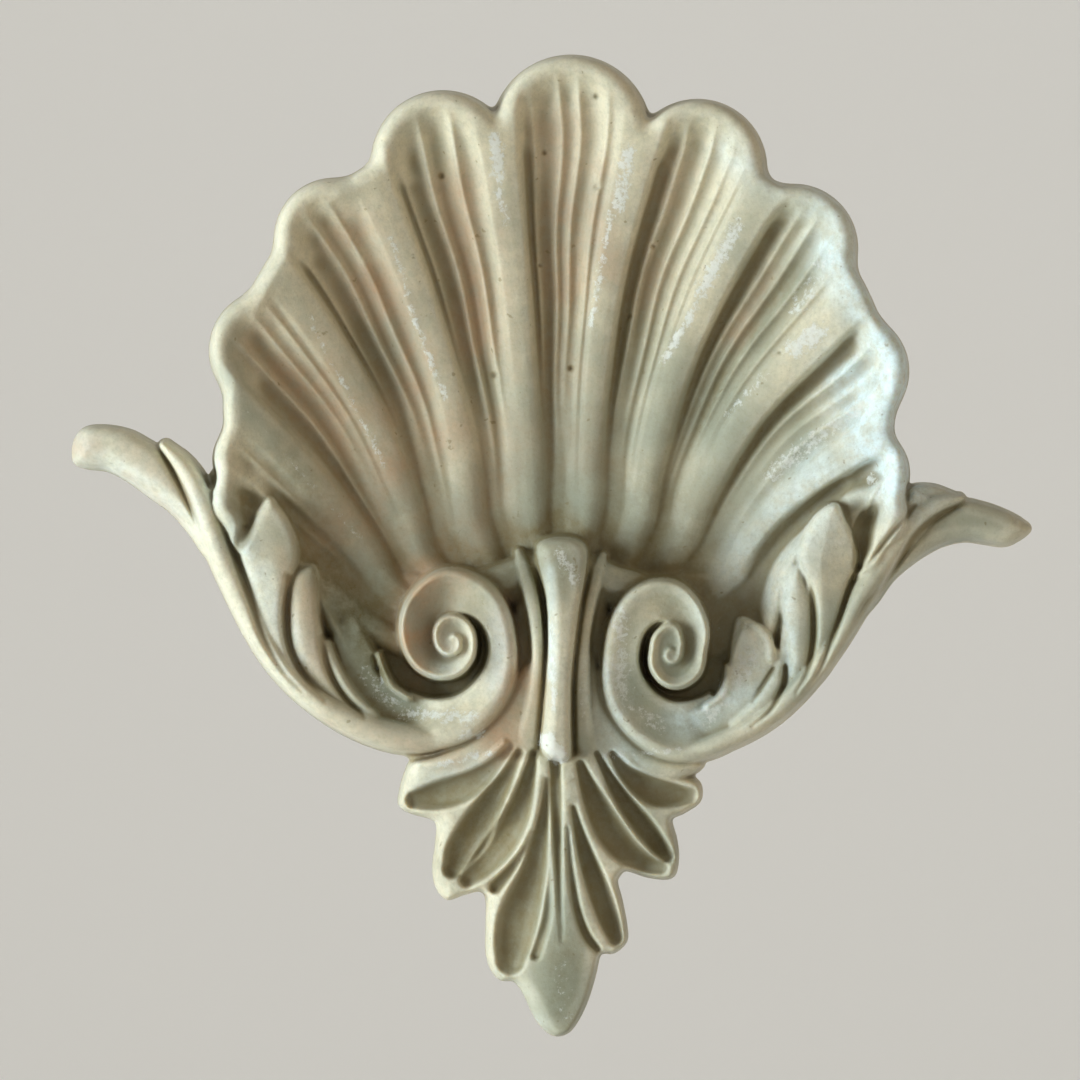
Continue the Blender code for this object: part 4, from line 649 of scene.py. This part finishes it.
# Each hollow, along its middle: x, z, half-width and share of the depth.
palmetteHollows = (
    ((-16.9, -18.4, 1, 0.8), (-14.4, -17.9, 1.5, 1), (-11.7, -17.1, 1.6, 0.9), (-9.5, -15.9, 1.3, 0.8),
     (-7.6, -14.2, 0.8, 0.6), (-6, -12.3, 0.5, 0.4)),
    ((-12.5, -26.3, 1.1, 0.8), (-11.6, -24.4, 1.7, 1), (-10.1, -22.2, 1.9, 1), (-8.5, -19.2, 1.5, 1),
     (-6.6, -16.2, 0.95, 0.9), (-4.9, -12.9, 0.5, 0.5)),
    ((-10.8, -27.5, 0.95, 0.7), (-8.9, -25.7, 1.4, 1), (-6.9, -23.3, 1.65, 1), (-5.4, -20.6, 1.5, 1),
     (-4.4, -17.9, 1.15, 0.9), (-3.7, -15.2, 0.75, 0.8), (-3.2, -13, 0.45, 0.5)),
    ((-7.6, -28.4, 0.8, 0.7), (-5.9, -26.4, 0.6, 0.6), (-4.4, -24.2, 0.4, 0.4), (-3.4, -22, 0.25, 0.2)),
    ((-5.9, -36.9, 1.55, 0.8), (-5.6, -35, 2, 1), (-5.1, -32.3, 2.2, 1), (-4.2, -29.4, 1.9, 1),
     (-3.3, -26.6, 1.45, 1), (-2.6, -23.4, 1, 0.9), (-2, -19.5, 0.6, 0.6), (-1.7, -16, 0.35, 0.35)),
    ((6.2, -34.2, 0.9, 0.8), (5.5, -32.3, 1.15, 1), (4.6, -29.8, 1.25, 1), (3.7, -27.3, 1.15, 1),
     (2.8, -24.7, 0.9, 0.9), (2, -22, 0.6, 0.6), (1.3, -19.2, 0.35, 0.35)),
    ((11.4, -26.2, 0.75, 0.6), (9.5, -25.6, 1.1, 1), (7.3, -24.1, 1.5, 1), (5.6, -22, 1.65, 1),
     (4.2, -19.4, 1.4, 1), (3, -16.7, 0.95, 0.9), (2.1, -14.2, 0.5, 0.6)),
    ((12.2, -24.9, 0.75, 0.7), (11.1, -23.6, 1, 1), (9.5, -21.5, 1.15, 1), (7.9, -19.5, 1.05, 1),
     (6.3, -17.2, 0.8, 0.9), (5, -14.9, 0.5, 0.7), (4, -13, 0.35, 0.4)),
    ((14.8, -17.9, 0.9, 0.8), (12.8, -17.8, 1.35, 1), (10.6, -17.4, 1.55, 1), (8.8, -16.4, 1.3, 1),
     (7.1, -14.9, 0.85, 0.8), (5.8, -13.1, 0.45, 0.5)),
    ((-0.75, -14, 0.6, 0.6), (-0.65, -19, 0.65, 0.6), (-0.5, -24, 0.5, 0.45), (-0.3, -29, 0.35, 0.25),
     (0, -34.5, 0.2, 0.1)),
    ((-1.3, -23.5, 0.25, 0.15), (-1.45, -28, 0.35, 0.2), (-1.75, -32, 0.5, 0.3), (-3, -36.2, 0.6, 0.4)),
    ((0.65, -21.5, 0.25, 0.2), (1, -26, 0.35, 0.3), (1.75, -30.8, 0.45, 0.4), (2.8, -33.8, 0.5, 0.5),
     (4.1, -35.6, 0.45, 0.5)),
)


def carvePalmette(relief):
    # one leaf-shaped body that falls away from the stem, with a hollow in each lobe
    line = closedCurve(np.array(palmetteEdge, float)) * unit
    where = relief.window(line, 0.003)
    x, z = relief.x[where], relief.z[where]
    inside = insideOf(line, x, z)
    outwards = np.sqrt(x**2 + (2 * unit) ** 2) - 2 * unit
    down = -13 * unit - z
    surface = palmette["height"] - palmette["fallDown"] * down - palmette["fallOut"] * outwards
    surface = surface - palmette["dip"] * ramp(-down, -1 * unit, 2 * unit)
    rounding = leaned(cast["edgeRound"], palmette["lean"], inside, x)
    relief.add(walled(inside, surface, rounding), where, 0.0008)
    # folds above the top lobes
    relief.blade((
        (-16.4, -15.5, 0.7, 0.58), (-14, -15.3, 0.7, 0.66), (-11, -14.7, 0.6, 0.76),
        (-8.5, -13.4, 0.5, 0.88), (-6.6, -11.8, 0.4, 0.96),
    ), palmette["height"], rounding=0.0005, blend=0.0008)


def hollowPalmette(relief):
    for rows in palmetteHollows:
        wider = [(x, z, palmette["wider"] * half, share) for x, z, half, share in rows]
        relief.groove(wider, palmette["hollow"], 3.0)


def carve(x, z):
    # the height of the front above the flat back; negative outside the casting
    relief = Relief(x, z)
    carveShell(relief)
    carveFolds(relief)
    carveWeb(relief)
    carveLeftArm(relief)
    carveRightArm(relief)
    carvePalmette(relief)
    carveVolute(relief, leftVolute, 1, leftSpiral)
    carveVolute(relief, rightVolute, -1, rightSpiral)
    carveStem(relief)
    hollowPalmette(relief)
    return relief


def blurred(field, radius, passes=3):
    # box blurs, each by running sums
    n = max(1, int(round(radius / cast["gridStep"])))
    for _ in range(passes):
        for axis in (0, 1):
            before, after = field.take([0] * (n + 1), axis), field.take([-1] * n, axis)
            total = np.cumsum(np.concatenate([before, field, after], axis), axis)
            size = field.shape[axis]
            upper = total.take(range(2 * n + 1, 2 * n + 1 + size), axis)
            field = (upper - total.take(range(size), axis)) / (2 * n + 1)
    return field


def softNoise(x, z, size, seed):
    # smooth random hills between -1 and 1, with one lattice point for each size
    cells = 256
    lattice = np.random.RandomState(seed).uniform(-1, 1, (cells, cells))
    gx, gz = x / size, z / size
    ix, iz = np.floor(gx).astype(int), np.floor(gz).astype(int)
    tx, tz = ramp(gx - ix, 0, 1), ramp(gz - iz, 0, 1)
    low, high = (
        lattice[row % cells, ix % cells] * (1 - tx) + lattice[row % cells, (ix + 1) % cells] * tx
        for row in (iz, iz + 1)
    )
    return low * (1 - tz) + high * tz


# Wear: pinholes left by bubbles, and an uneven hand-finished surface.
wear = {
    "unevenness": 0.00006,
    "pinholeDepth": 0.0005,
}
pinholes = (
    (-13.8, 53.3, 0.32), (-7.7, 30.5, 0.32), (1.1, 31.3, 0.3), (4, 62.3, 0.3), (4, 52, 0.3), (-2, 56, 0.25),
    (-21.2, -3.3, 0.4), (-36.2, 13, 0.3), (10.5, 45.3, 0.25), (7.8, 37.3, 0.25), (-2.5, 43.1, 0.22),
    (25.1, 33, 0.2), (4.2, -3, 0.25),
)


def weather(relief):
    x, z = relief.x / unit, relief.z / unit
    hills = softNoise(x, z, 5.0, 3) + 0.6 * softNoise(x, z, 2.2, 4) + 0.35 * softNoise(x, z, 1.0, 5)
    front = relief.height > 0.0006
    relief.height += np.where(front, wear["unevenness"] * hills, 0)
    for px, pz, radius in pinholes:
        where = relief.window(np.array([(px, pz)]) * unit, 2 * unit)
        off = np.hypot(x[where] - px, z[where] - pz) / radius
        relief.height[where] -= wear["pinholeDepth"] * np.exp(-off**2)


# The sheet that is carved, a little larger than the casting, in drawn units.
sheet = {"x": (-60, 58), "z": (-49, 70), "lowest": -0.003}


def gridLine(start, end):
    count = round((end - start) * unit / cast["gridStep"])
    return start * unit + (end - start) * unit * np.arange(count + 1) / count


def carvedSheet():
    x, z = gridLine(*sheet["x"]), gridLine(*sheet["z"])
    relief = carve(*np.meshgrid(x, z))
    relief.height = blurred(relief.height, cast["gridStep"], passes=1)
    weather(relief)
    height = np.maximum(relief.height, sheet["lowest"])
    solid = height > 0
    near = solid[1:, 1:] | solid[:-1, 1:] | solid[1:, :-1] | solid[:-1, :-1]
    j, i = np.nonzero(near)
    ring = ((0, 0), (0, 1), (1, 1), (1, 0))
    corners = np.stack([(j + dj) * len(x) + i + di for dj, di in ring], 1)
    used, faces = np.unique(corners, return_inverse=True)
    points = np.stack([relief.x.ravel()[used], -height.ravel()[used], relief.z.ravel()[used]], 1)
    data = bpy.data.meshes.new("carved_onlay")
    data.from_pydata(points, [], faces.reshape(-1, 4))
    return data, relief


def closeBack(data):
    # cuts the sheet off at the back plane and fills the flat back
    mesh = bmesh.new()
    mesh.from_mesh(data)
    everything = mesh.verts[:] + mesh.edges[:] + mesh.faces[:]
    bmesh.ops.bisect_plane(
        mesh, geom=everything, plane_co=(0, 0, 0), plane_no=(0, 1, 0), clear_outer=True
    )
    rim = [edge for edge in mesh.edges if edge.is_boundary]
    back = bmesh.ops.triangle_fill(mesh, use_beauty=True, edges=rim, normal=Vector((0, 1, 0)))
    flat = [face for face in back["geom"] if isinstance(face, bmesh.types.BMFace)]
    for face in mesh.faces:
        face.smooth = True
    for face in flat:
        face.smooth = False
    bmesh.ops.triangulate(mesh, faces=mesh.faces[:])
    bmesh.ops.recalc_face_normals(mesh, faces=mesh.faces[:])
    mesh.to_mesh(data)
    mesh.free()


def sampled(field, relief, points):
    # a grid's value at each point, from the four grid points round it
    gx = (points[:, 0] - relief.x[0, 0]) / (relief.x[0, 1] - relief.x[0, 0])
    gz = (points[:, 2] - relief.z[0, 0]) / (relief.z[1, 0] - relief.z[0, 0])
    i = np.clip(gx.astype(int), 0, field.shape[1] - 2)
    j = np.clip(gz.astype(int), 0, field.shape[0] - 2)
    tx, tz = gx - i, gz - j
    low = field[j, i] * (1 - tx) + field[j, i + 1] * tx
    high = field[j + 1, i] * (1 - tx) + field[j + 1, i + 1] * tx
    return low * (1 - tz) + high * tz


def thinned(data, name):
    # fewer triangles, with the rest kept where the form turns
    rough = bpy.data.objects.new(name, data)
    bpy.context.scene.collection.objects.link(rough)
    thin = rough.modifiers.new("fewerTriangles", "DECIMATE")
    thin.ratio = min(1, cast["triangles"] / len(data.polygons))
    graph = bpy.context.evaluated_depsgraph_get()
    done = bpy.data.meshes.new_from_object(rough.evaluated_get(graph))
    rough.modifiers.clear()
    rough.data = done
    bpy.data.meshes.remove(data)
    return rough


# Marks for the finish and its painted light and shade, each a stroke: from x, z to x, z, half-width,
# strength.
# Chalky powder along the ribbons, in the arms' channels and on the stem's foot.
powderMarks = (
    (-7.6, 57.5, -7.2, 53, 1.1, 0.9), (-7.2, 52, -6.4, 48, 0.8, 0.7), (-19.6, 46, -17.4, 39, 0.8, 0.6),
    (-17.4, 38, -13.2, 27.5, 0.7, 0.7), (-29, 37, -20.3, 20, 0.7, 0.6), (-36.5, 26.5, -22, 10.5, 0.6, 0.5),
    (7.6, 56, 6.6, 50, 1.4, 0.8), (5.6, 49, 3.4, 36, 0.7, 0.7), (20, 47.5, 16, 40, 1.4, 0.8),
    (15.5, 38.5, 11.6, 32, 0.8, 0.8), (29.5, 35.5, 26.5, 33.3, 1.6, 0.9), (23.5, 30.5, 19, 26, 0.8, 0.6),
    (34.5, 27, 24, 19, 1.6, 0.7), (35.5, 18.5, 36.5, 16.5, 0.9, 0.7), (31, 44, 27, 38, 2.2, 0.6),
    (-22.4, -4, -18.5, -8.3, 1.8, 0.6), (-17, -8.3, -10, -8.9, 1.3, 0.72), (16.5, -9.3, 22, -2, 2, 0.7),
    (6.6, 3, 6.9, -6, 1.8, 0.7), (8, -8, 12, -9.8, 1.6, 0.6), (15, 6, 18, 0, 1.4, 0.4),
    (-1.6, -11.4, -0.3, -13.2, 1.2, 1.3), (-1.2, 2, -0.9, -8, 0.6, 0.7), (-0.5, 10, 1.4, 7, 1.1, 0.8),
    (-11.5, -11, -9, -10.6, 0.9, 0.7), (-14, -14.2, -8, -13, 0.8, 0.7), (2.4, -2, 2.4, -9, 0.7, 0.5),
    (0, -36, 0.6, -43, 2, 0.45), (5, -13.2, 14, -12.6, 0.8, 0.6),
)
# Painted pale bluish light, mostly on the right of the bowl.
paintedLightMarks = (
    (38, 36, 39, 18, 4, 1.5), (22, 10, 19, 3, 4, 0.8), (34, 46, 30, 50, 3, 0.7), (31, 45, 35, 38, 3, 1.1),
    (33, 30, 36, 20, 3.5, 1.3), (31, 16, 24, 6, 4, 0.6), (14, -9, 21, -6, 2.2, 0.8),
    (25, 14, 30, 20, 3, 0.8), (19, 56, 24, 52, 2, 0.5), (26, 6, 26, -3, 1.2, 0.7),
    (-6.4, 3, -6.8, -5, 1.8, 0.8), (-1.4, 8, -1.3, -4, 0.7, 0.7), (-55, 22, -46, 18, 2, 0.3),
    (-16, -44, -2, -44, 0.8, 0.3), (-41, 24, -40, 16, 1.2, 0.6), (-55, 22, -43, 15, 2.4, 0.45),
    (-37, 12, -30, -2, 2.2, 0.5), (-17, 3, -14, -3, 2.6, 0.5), (20, 4, 22, -4, 2.6, 0.6),
    (4, 10, 6, 6, 2.4, 0.6), (4, -4, 7, -14, 2.6, 0.7), (-15, -16.5, -8, -14.5, 2, 0.5),
)
# Warm stains, mixed with painted warm shade, in the flutes on the left, in the arms and in the volutes, and a
# painted warm glow at the left wing's tip.
warmStainAndShadeMarks = (
    (-33, 34, -20, 20, 4, 1.1), (-24, 46, -14, 24, 3.4, 1.2), (-12, 52, -9, 34, 2.8, 1.1),
    (0, 58, 1, 40, 3.6, 0.9), (13, 54, 10, 40, 2.4, 0.5), (-18, 16, -14, 10, 4, 0.5),
    (-16, 7, -17, 1, 2.8, 1.5), (-12, 7, -17, -4, 1.6, 0.8), (-4.6, -5, -7, -11, 2.6, 1.7),
    (-20, 24, -24, 12, 5, 0.8), (-6, 24, -10, 12, 4, 0.5), (0, 34, 2, 22, 4, 0.4),
    (-56, 22, -54, 22, 1.6, 0.8), (-50, 18.5, -44, 14, 1.2, 0.6), (-50, 22, -43, 16, 1.4, 0.4),
    (-32, 10, -31, 2, 1, 0.5), (-29.6, 6, -28, -3, 1.6, 0.6), (4, 54, 5, 42, 2.4, 0.8),
    (-6.4, 4, -5.2, -3, 1.4, 0.9), (-27, -9.5, -12, -13.5, 1.5, 0.6), (2, 52, 5, 44, 3, 0.7),
    (-7.5, 50, -6, 30, 1.6, 0.5), (-30, 34, -24, 26, 3, 0.8), (24, 42, 20, 35, 1.4, 0.7),
)
# Greenish grey dust, mixed with painted shade, over the lower bowl, the right volute and the palmette.
dustAndShadeMarks = (
    (-12, 12, 14, 14, 9, 1.1), (14, 20, 22, 40, 5, 0.7), (-26, 14, -17, 18, 6, 1.1),
    (-22, 9, -18, -1, 4, 1.5), (-16, 30, 12, 32, 8, 0.7), (2, 20, 16, 24, 8, 0.7), (2, 50, 6, 42, 4, 0.5),
    (28, 24, 36, 14, 3, 0.5), (8, 4, 9, -6, 2.6, 0.8), (12, -10, 26, -5, 3, 0.9), (30, 2, 50, 14, 4, 1.1),
    (0, -24, 0.5, -42, 3.5, 1), (8, -15, 12, -24, 4, 0.6), (-25, 3, -19, -8, 3, 1.6),
    (12, 6, 18, 3, 3, 1.1), (13, 0, 14, -4, 3, 1), (-38, 30, -33, 24, 3, 0.9), (-34, 42, -28, 36, 3, 0.8),
    (-25, 52, -19, 44, 2.5, 0.7), (-38, 16, -37, 11.5, 1.4, 0.8), (-30.5, 21, -26.5, 9, 2.6, 0.9),
    (2.6, 6, 2.4, -12, 1.6, 0.5), (27, 42, 20, 34, 3, 0.9), (-38, 40, -37, 30, 2, 0.7),
    (-22, 58.5, -16, 60, 1.6, 0.6), (28, 28, 28, 20, 3, 0.6), (-12, -27, -8, -19, 1.6, 0.7),
    (-26, 18, -20, 6, 3, 0.9),
)
# Painted olive shade in the depths.
paintedShadeMarks = (
    (-14, 9, 14, 10, 7, 0.5), (-28, 10, -20, -3, 3.2, 1.1), (-24, 22, -18, 12, 6, 0.45),
    (0, 20, 0, 36, 9, 0.3), (-24, 1, -21, -7, 2, 0.6), (12, 4, 16, -2, 3.2, 0.5),
    (-37.6, 17, -37, 12, 1.3, 0.5), (26, 42, 17, 26, 2.8, 0.5), (-16, -18, -9, -16.5, 1.8, 0.5),
    (-12.5, -25.5, -7, -17, 2, 0.8), (-9.5, -26.5, -4.5, -17, 1.8, 0.5), (-5.6, -36, -3.6, -27, 1.8, 0.35),
    (10, -25, 4, -18, 1.8, 0.4), (11.5, -24, 6, -17, 1.3, 0.5), (-20, 8, -16, 4, 3, 0.7),
    (-31, 20, -25, 12, 3, 0.6), (-26, 30, -14, 18, 6, 0.35), (8, 18, 16, 14, 4.5, 0.45),
    (12, 42, 12, 24, 4, 0.3), (-4.6, -6, -6, -11, 2, 0.6), (0, -36, 0, -43, 2.5, 0.55),
    (28, 10, 33, 6, 3, 0.3),
)


def marksOf(relief, marks):
    # the strokes as one field, soft at their edges
    x, z = relief.x / unit, relief.z / unit
    field = np.zeros(x.shape)
    for ax, az, bx, bz, half, strength in marks:
        line = np.array([(ax, az), (bx, bz)], float)
        where = relief.window(line * unit, 2.5 * half * unit)
        off = offsetFrom(line, x[where], z[where])[1]
        field[where] = np.maximum(field[where], strength * np.exp(-((off / half) ** 2)))
    return field


# How hollows and proud edges are told, for the painted shade in the hollows and the painted highlight on the
# proud edges: how far the surface lies from itself, blurred this widely.
masks = {"near": 0.0008, "wide": 0.0026, "whole": 0.0070}


def addMasks(piece, relief):
    data = piece.data
    points = np.empty(len(data.vertices) * 3)
    data.vertices.foreach_get("co", points)
    points = points.reshape(-1, 3)
    surface = np.maximum(relief.height, 0)
    near, wide, whole = (blurred(surface, masks[reach]) for reach in ("near", "wide", "whole"))
    within = ramp(blurred((surface > 0.002).astype(float), masks["near"]), 0.55, 0.9)
    # painted shade: the further a point lies below its surroundings, in a groove or at the bottom of the
    # bowl, the darker
    hollowShade = np.clip((near - surface) / 0.0007, 0, 1) + np.clip((wide - surface) / 0.0028, 0, 1)
    hollowShade += 0.7 * np.clip((whole - surface) / 0.0060, 0, 1) + 0.9 * np.clip(relief.cut / 0.0008, 0, 1)
    fields = {
        "hollow": within * hollowShade,
        "wornEdgeAndHighlight": np.clip((surface - near) / 0.0006, 0, 1) * (0.4 + 0.6 * within),
        "powder": marksOf(relief, powderMarks),
        "paintedLight": marksOf(relief, paintedLightMarks),
        "warmStainAndShade": marksOf(relief, warmStainAndShadeMarks),
        "dustAndShade": marksOf(relief, dustAndShadeMarks),
        "paintedShade": marksOf(relief, paintedShadeMarks),
    }
    onFront = points[:, 1] < -0.0002
    for name, field in fields.items():
        values = np.where(onFront, sampled(field, relief, points), 0)
        layer = data.attributes.new(name, "FLOAT", "POINT")
        layer.data.foreach_set("value", values.astype(np.float32))


# Finish: ivory cast resin with a satin skin, under painted light, powder, warm stains, dust and painted
# shade.
resin = {
    "pale": (0.67, 0.615, 0.455, 1),
    "grey": (0.335, 0.355, 0.275, 1),
    "hollow": (0.195, 0.15, 0.06, 1),
    "paintedShade": (0.15, 0.13, 0.06, 1),
    "wornEdgeAndHighlight": (0.76, 0.75, 0.63, 1),
    "warmStainAndShade": (0.50, 0.345, 0.22, 1),
    "paintedLight": (0.75, 0.89, 0.92, 1),
    "powder": (0.71, 0.73, 0.69, 1),
    "covers": {"paintedLight": 0.75, "paintedShade": 0.9, "warmStainAndShade": 0.75, "powder": 0.75},
    "roughness": (0.46, 0.62),
    "specular": 0.25,
    "glow": 0.35,              # light that goes into the resin, and how deep
    "glowDepth": 0.0016,
    "bump": 0.40,
    "bumpDepth": 0.00012,
}


def node(tree, kind, x, y, **settings):
    made = tree.nodes.new(kind)
    made.location = (x, y)
    for key, value in settings.items():
        setattr(made, key, value)
    return made


def feed(tree, made, values):
    # each value is a number or a colour, or comes from a socket
    for index, value in values.items():
        if isinstance(value, bpy.types.NodeSocket):
            tree.links.new(value, made.inputs[index])
        else:
            made.inputs[index].default_value = value


def mixed(tree, x, y, factor, first, second):
    mix = node(tree, "ShaderNodeMix", x, y, data_type="RGBA")
    feed(tree, mix, {0: factor, 6: first, 7: second})
    return mix.outputs[2]


def castResin():
    material = bpy.data.materials.new("ivoryCastResin")
    material.use_nodes = True
    tree = material.node_tree
    shader = tree.nodes["Principled BSDF"]
    place = node(tree, "ShaderNodeTexCoord", -1500, 0).outputs["Object"]

    def noise(x, y, scale, detail=3.0, rough=0.5):
        made = node(tree, "ShaderNodeTexNoise", x, y)
        feed(tree, made, {"Vector": place, "Scale": scale, "Detail": detail, "Roughness": rough})
        return made.outputs["Fac"]

    def mask(name, x, y):
        return node(tree, "ShaderNodeAttribute", x, y, attribute_name=name).outputs["Fac"]

    def ranged(socket, x, y, low, high, toLow=0.0, toHigh=1.0):
        made = node(tree, "ShaderNodeMapRange", x, y, interpolation_type="SMOOTHSTEP")
        feed(tree, made, {0: socket, 1: low, 2: high, 3: toLow, 4: toHigh})
        return made.outputs[0]

    def maths(kind, x, y, first, second):
        made = node(tree, "ShaderNodeMath", x, y, operation=kind)
        feed(tree, made, {0: first, 1: second})
        return made.outputs[0]

    covers = resin["covers"]
    # the resin itself, greyer in clouds and under dust and painted shade, paler on its proud edges, which are
    # rubbed and carry a painted highlight
    cloud = ranged(noise(-1250, 300, 60), -1050, 300, 0.35, 0.65)
    clear = maths("SUBTRACT", -900, 350, cloud, mask("dustAndShade", -1250, 1300))
    body = mixed(tree, -800, 300, ranged(clear, -850, 380, -0.9, 0.75), resin["grey"], resin["pale"])
    # rubbed edges, paler, with a painted highlight on them
    wornEdgeAndHighlight = ranged(mask("wornEdgeAndHighlight", -1250, 100), -1050, 100, 0.05, 0.9, 0, 0.34)
    body = mixed(tree, -600, 250, wornEdgeAndHighlight, body, resin["wornEdgeAndHighlight"])
    # painted light and painted shade lie in small clouds
    haze = ranged(noise(-1250, 900, 420, 5.0, 0.7), -1050, 900, 0.30, 0.60, 0.35, 1.0)
    paintedLight = maths("MULTIPLY", -900, 900, mask("paintedLight", -1250, 1100), haze)
    body = mixed(tree, -500, 220, maths("MULTIPLY", -700, 900, paintedLight, covers["paintedLight"]), body, resin["paintedLight"])
    paintedShade = maths("MULTIPLY", -900, 1000, mask("paintedShade", -1250, 1600), haze)
    body = mixed(tree, -450, 210, maths("MULTIPLY", -700, 1000, paintedShade, covers["paintedShade"]), body, resin["paintedShade"])
    # painted shade in the hollows
    hollow = ranged(mask("hollow", -1250, -100), -1050, -100, 0.10, 1.3, 0, 0.8)
    body = mixed(tree, -400, 200, hollow, body, resin["hollow"])
    # warm stains and painted warm shade in patches, then a fine mottle
    patches = ranged(noise(-1250, 500, 160, 4.0, 0.6), -1050, 500, 0.33, 0.62, 0.35)
    warmStainAndShade = maths("MULTIPLY", -900, 500, mask("warmStainAndShade", -1250, 700), patches)
    warmStainAndShade = maths("MULTIPLY", -800, 500, warmStainAndShade, covers["warmStainAndShade"])
    body = mixed(tree, -300, 180, warmStainAndShade, body, resin["warmStainAndShade"])
    mottle = ranged(noise(-1250, 1500, 700, 6.0, 0.75), -1050, 1500, 0.36, 0.68, 0, 0.34)
    body = mixed(tree, -250, 160, mottle, body, resin["grey"])
    # powder in flecks, then grit and specks
    grain = noise(-1250, -300, 1100, 6.0, 0.8)
    reach = maths("MULTIPLY", -1150, -500, mask("powder", -1250, -500), 0.45)
    reach = maths("ADD", -1050, -300, reach, grain)
    powder = ranged(reach, -800, -300, 0.74, 0.86, 0, covers["powder"])
    body = mixed(tree, -200, 150, powder, body, resin["powder"])
    grit = ranged(noise(-1250, -1300, 2300, 3.0, 0.7), -1050, -1300, 0.46, 0.70, 0, 0.13)
    body = mixed(tree, -150, 130, grit, body, resin["hollow"])
    specks = ranged(noise(-1250, -1100, 900, 2.0, 0.5), -1050, -1100, 0.70, 0.76, 0, 0.5)
    body = mixed(tree, -100, 120, specks, body, resin["hollow"])
    satin = ranged(noise(-1250, -700, 300), -1050, -700, 0.3, 0.7, *resin["roughness"])
    rough = maths("ADD", -500, -200, satin, maths("MULTIPLY", -650, -250, powder, 0.35))
    fine = noise(-900, -900, 2500, 5.0, 0.6)
    bump = node(tree, "ShaderNodeBump", -300, -500)
    rise = maths("ADD", -500, -700, fine, powder)
    feed(tree, bump, {"Strength": resin["bump"], "Distance": resin["bumpDepth"], "Height": rise})
    feed(tree, shader, {
        "Base Color": body,
        "Roughness": rough,
        "Specular IOR Level": resin["specular"],
        "IOR": 1.5,
        "Subsurface Weight": resin["glow"],
        "Subsurface Radius": (1.0, 0.75, 0.45),
        "Subsurface Scale": resin["glowDepth"],
        "Normal": bump.outputs["Normal"],
    })
    return material


carvedData, relief = carvedSheet()
print("carved", relief.height.shape)
closeBack(carvedData)
onlay = thinned(carvedData, "carved_onlay")
addMasks(onlay, relief)
onlay.data.materials.clear()
onlay.data.materials.append(castResin())
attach(onlay, "root")
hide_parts("shell_onlay")
print("onlay built,", len(onlay.data.polygons), "triangles")

# Stage: a pale floor that sweeps up far behind, soft light from the left and a warm fill.
studio = {
    "floor": -0.168,           # well below the onlay's lowest point
    "paper": (0.80, 0.80, 0.78, 1),
    "paperLight": 16,
    "key": 6.9,
    "fill": 1.25,
    "ambient": 0.22,
}


def paperSweep():
    bend, wide, deep, high = 0.8, 3.0, 2.4, 3.2
    base = studio["floor"]
    profile = [(-2.6, base), (deep - bend, base)]
    for k in range(1, 13):
        a = math.pi / 2 * k / 12
        profile.append((deep - bend + bend * math.sin(a), base + bend - bend * math.cos(a)))
    profile.append((deep, base + high))
    points = [(side * wide, y, z) for y, z in profile for side in (-1, 1)]
    faces = [(2 * k, 2 * k + 1, 2 * k + 3, 2 * k + 2) for k in range(len(profile) - 1)]
    data = bpy.data.meshes.new("paperSweep")
    data.from_pydata(points, [], faces)
    for face in data.polygons:
        face.use_smooth = True
    material = bpy.data.materials.new("palePaper")
    material.use_nodes = True
    shader = material.node_tree.nodes["Principled BSDF"]
    shader.inputs["Base Color"].default_value = studio["paper"]
    shader.inputs["Roughness"].default_value = 0.9
    data.materials.append(material)
    sweep = bpy.data.objects.new("paperSweep", data)
    bpy.context.scene.collection.objects.link(sweep)


def softLight(name, place, size, power, colour, aim=(0, 0, 0.01)):
    lamp = bpy.data.lights.new(name, "AREA")
    lamp.shape = "DISK"
    lamp.size = size
    lamp.energy = power
    lamp.color = colour
    holder = bpy.data.objects.new(name, lamp)
    bpy.context.scene.collection.objects.link(holder)
    holder.location = place
    towards = Vector(aim) - Vector(place)
    holder.rotation_euler = towards.to_track_quat("-Z", "Y").to_euler()


def ambientLight():
    world = bpy.data.worlds.new("softRoom")
    world.use_nodes = True
    sky = world.node_tree.nodes["Background"]
    sky.inputs["Color"].default_value = (1.0, 0.91, 0.78, 1)
    sky.inputs["Strength"].default_value = studio["ambient"]
    bpy.context.scene.world = world


paperSweep()
softLight("windowKey", (-0.64, -0.30, 0.0), 0.46, studio["key"], (0.88, 0.97, 1.0))
softLight("warmFill", (0.55, -0.45, 0.15), 0.9, studio["fill"], (1.0, 0.82, 0.62))
softLight("topEdge", (-0.25, 0.10, 0.75), 0.5, 0.8, (0.95, 1.0, 1.0))
softLight("paperLight", (0, 0.6, 0.9), 1.6, studio["paperLight"], (1.0, 0.99, 0.97), (0, 2.4, 0))
ambientLight()

# Camera: front-on, a little above the origin, framed as the photograph is.
lens = {"distance": 1.20, "frame": 0.1244, "x": -0.0025, "z": 0.0115, "plane": -0.004}
view = bpy.data.cameras.new("frontView")
view.sensor_width = 36
view.lens = 36 * lens["distance"] / lens["frame"]
view.clip_start = 0.01
camera = bpy.data.objects.new("frontView", view)
bpy.context.scene.collection.objects.link(camera)
camera.location = (lens["x"], lens["plane"] - lens["distance"], lens["z"])
camera.rotation_euler = (math.pi / 2, 0, 0)
bpy.context.scene.camera = camera
bpy.context.scene.view_settings.view_transform = "Standard"
print("stage ready")
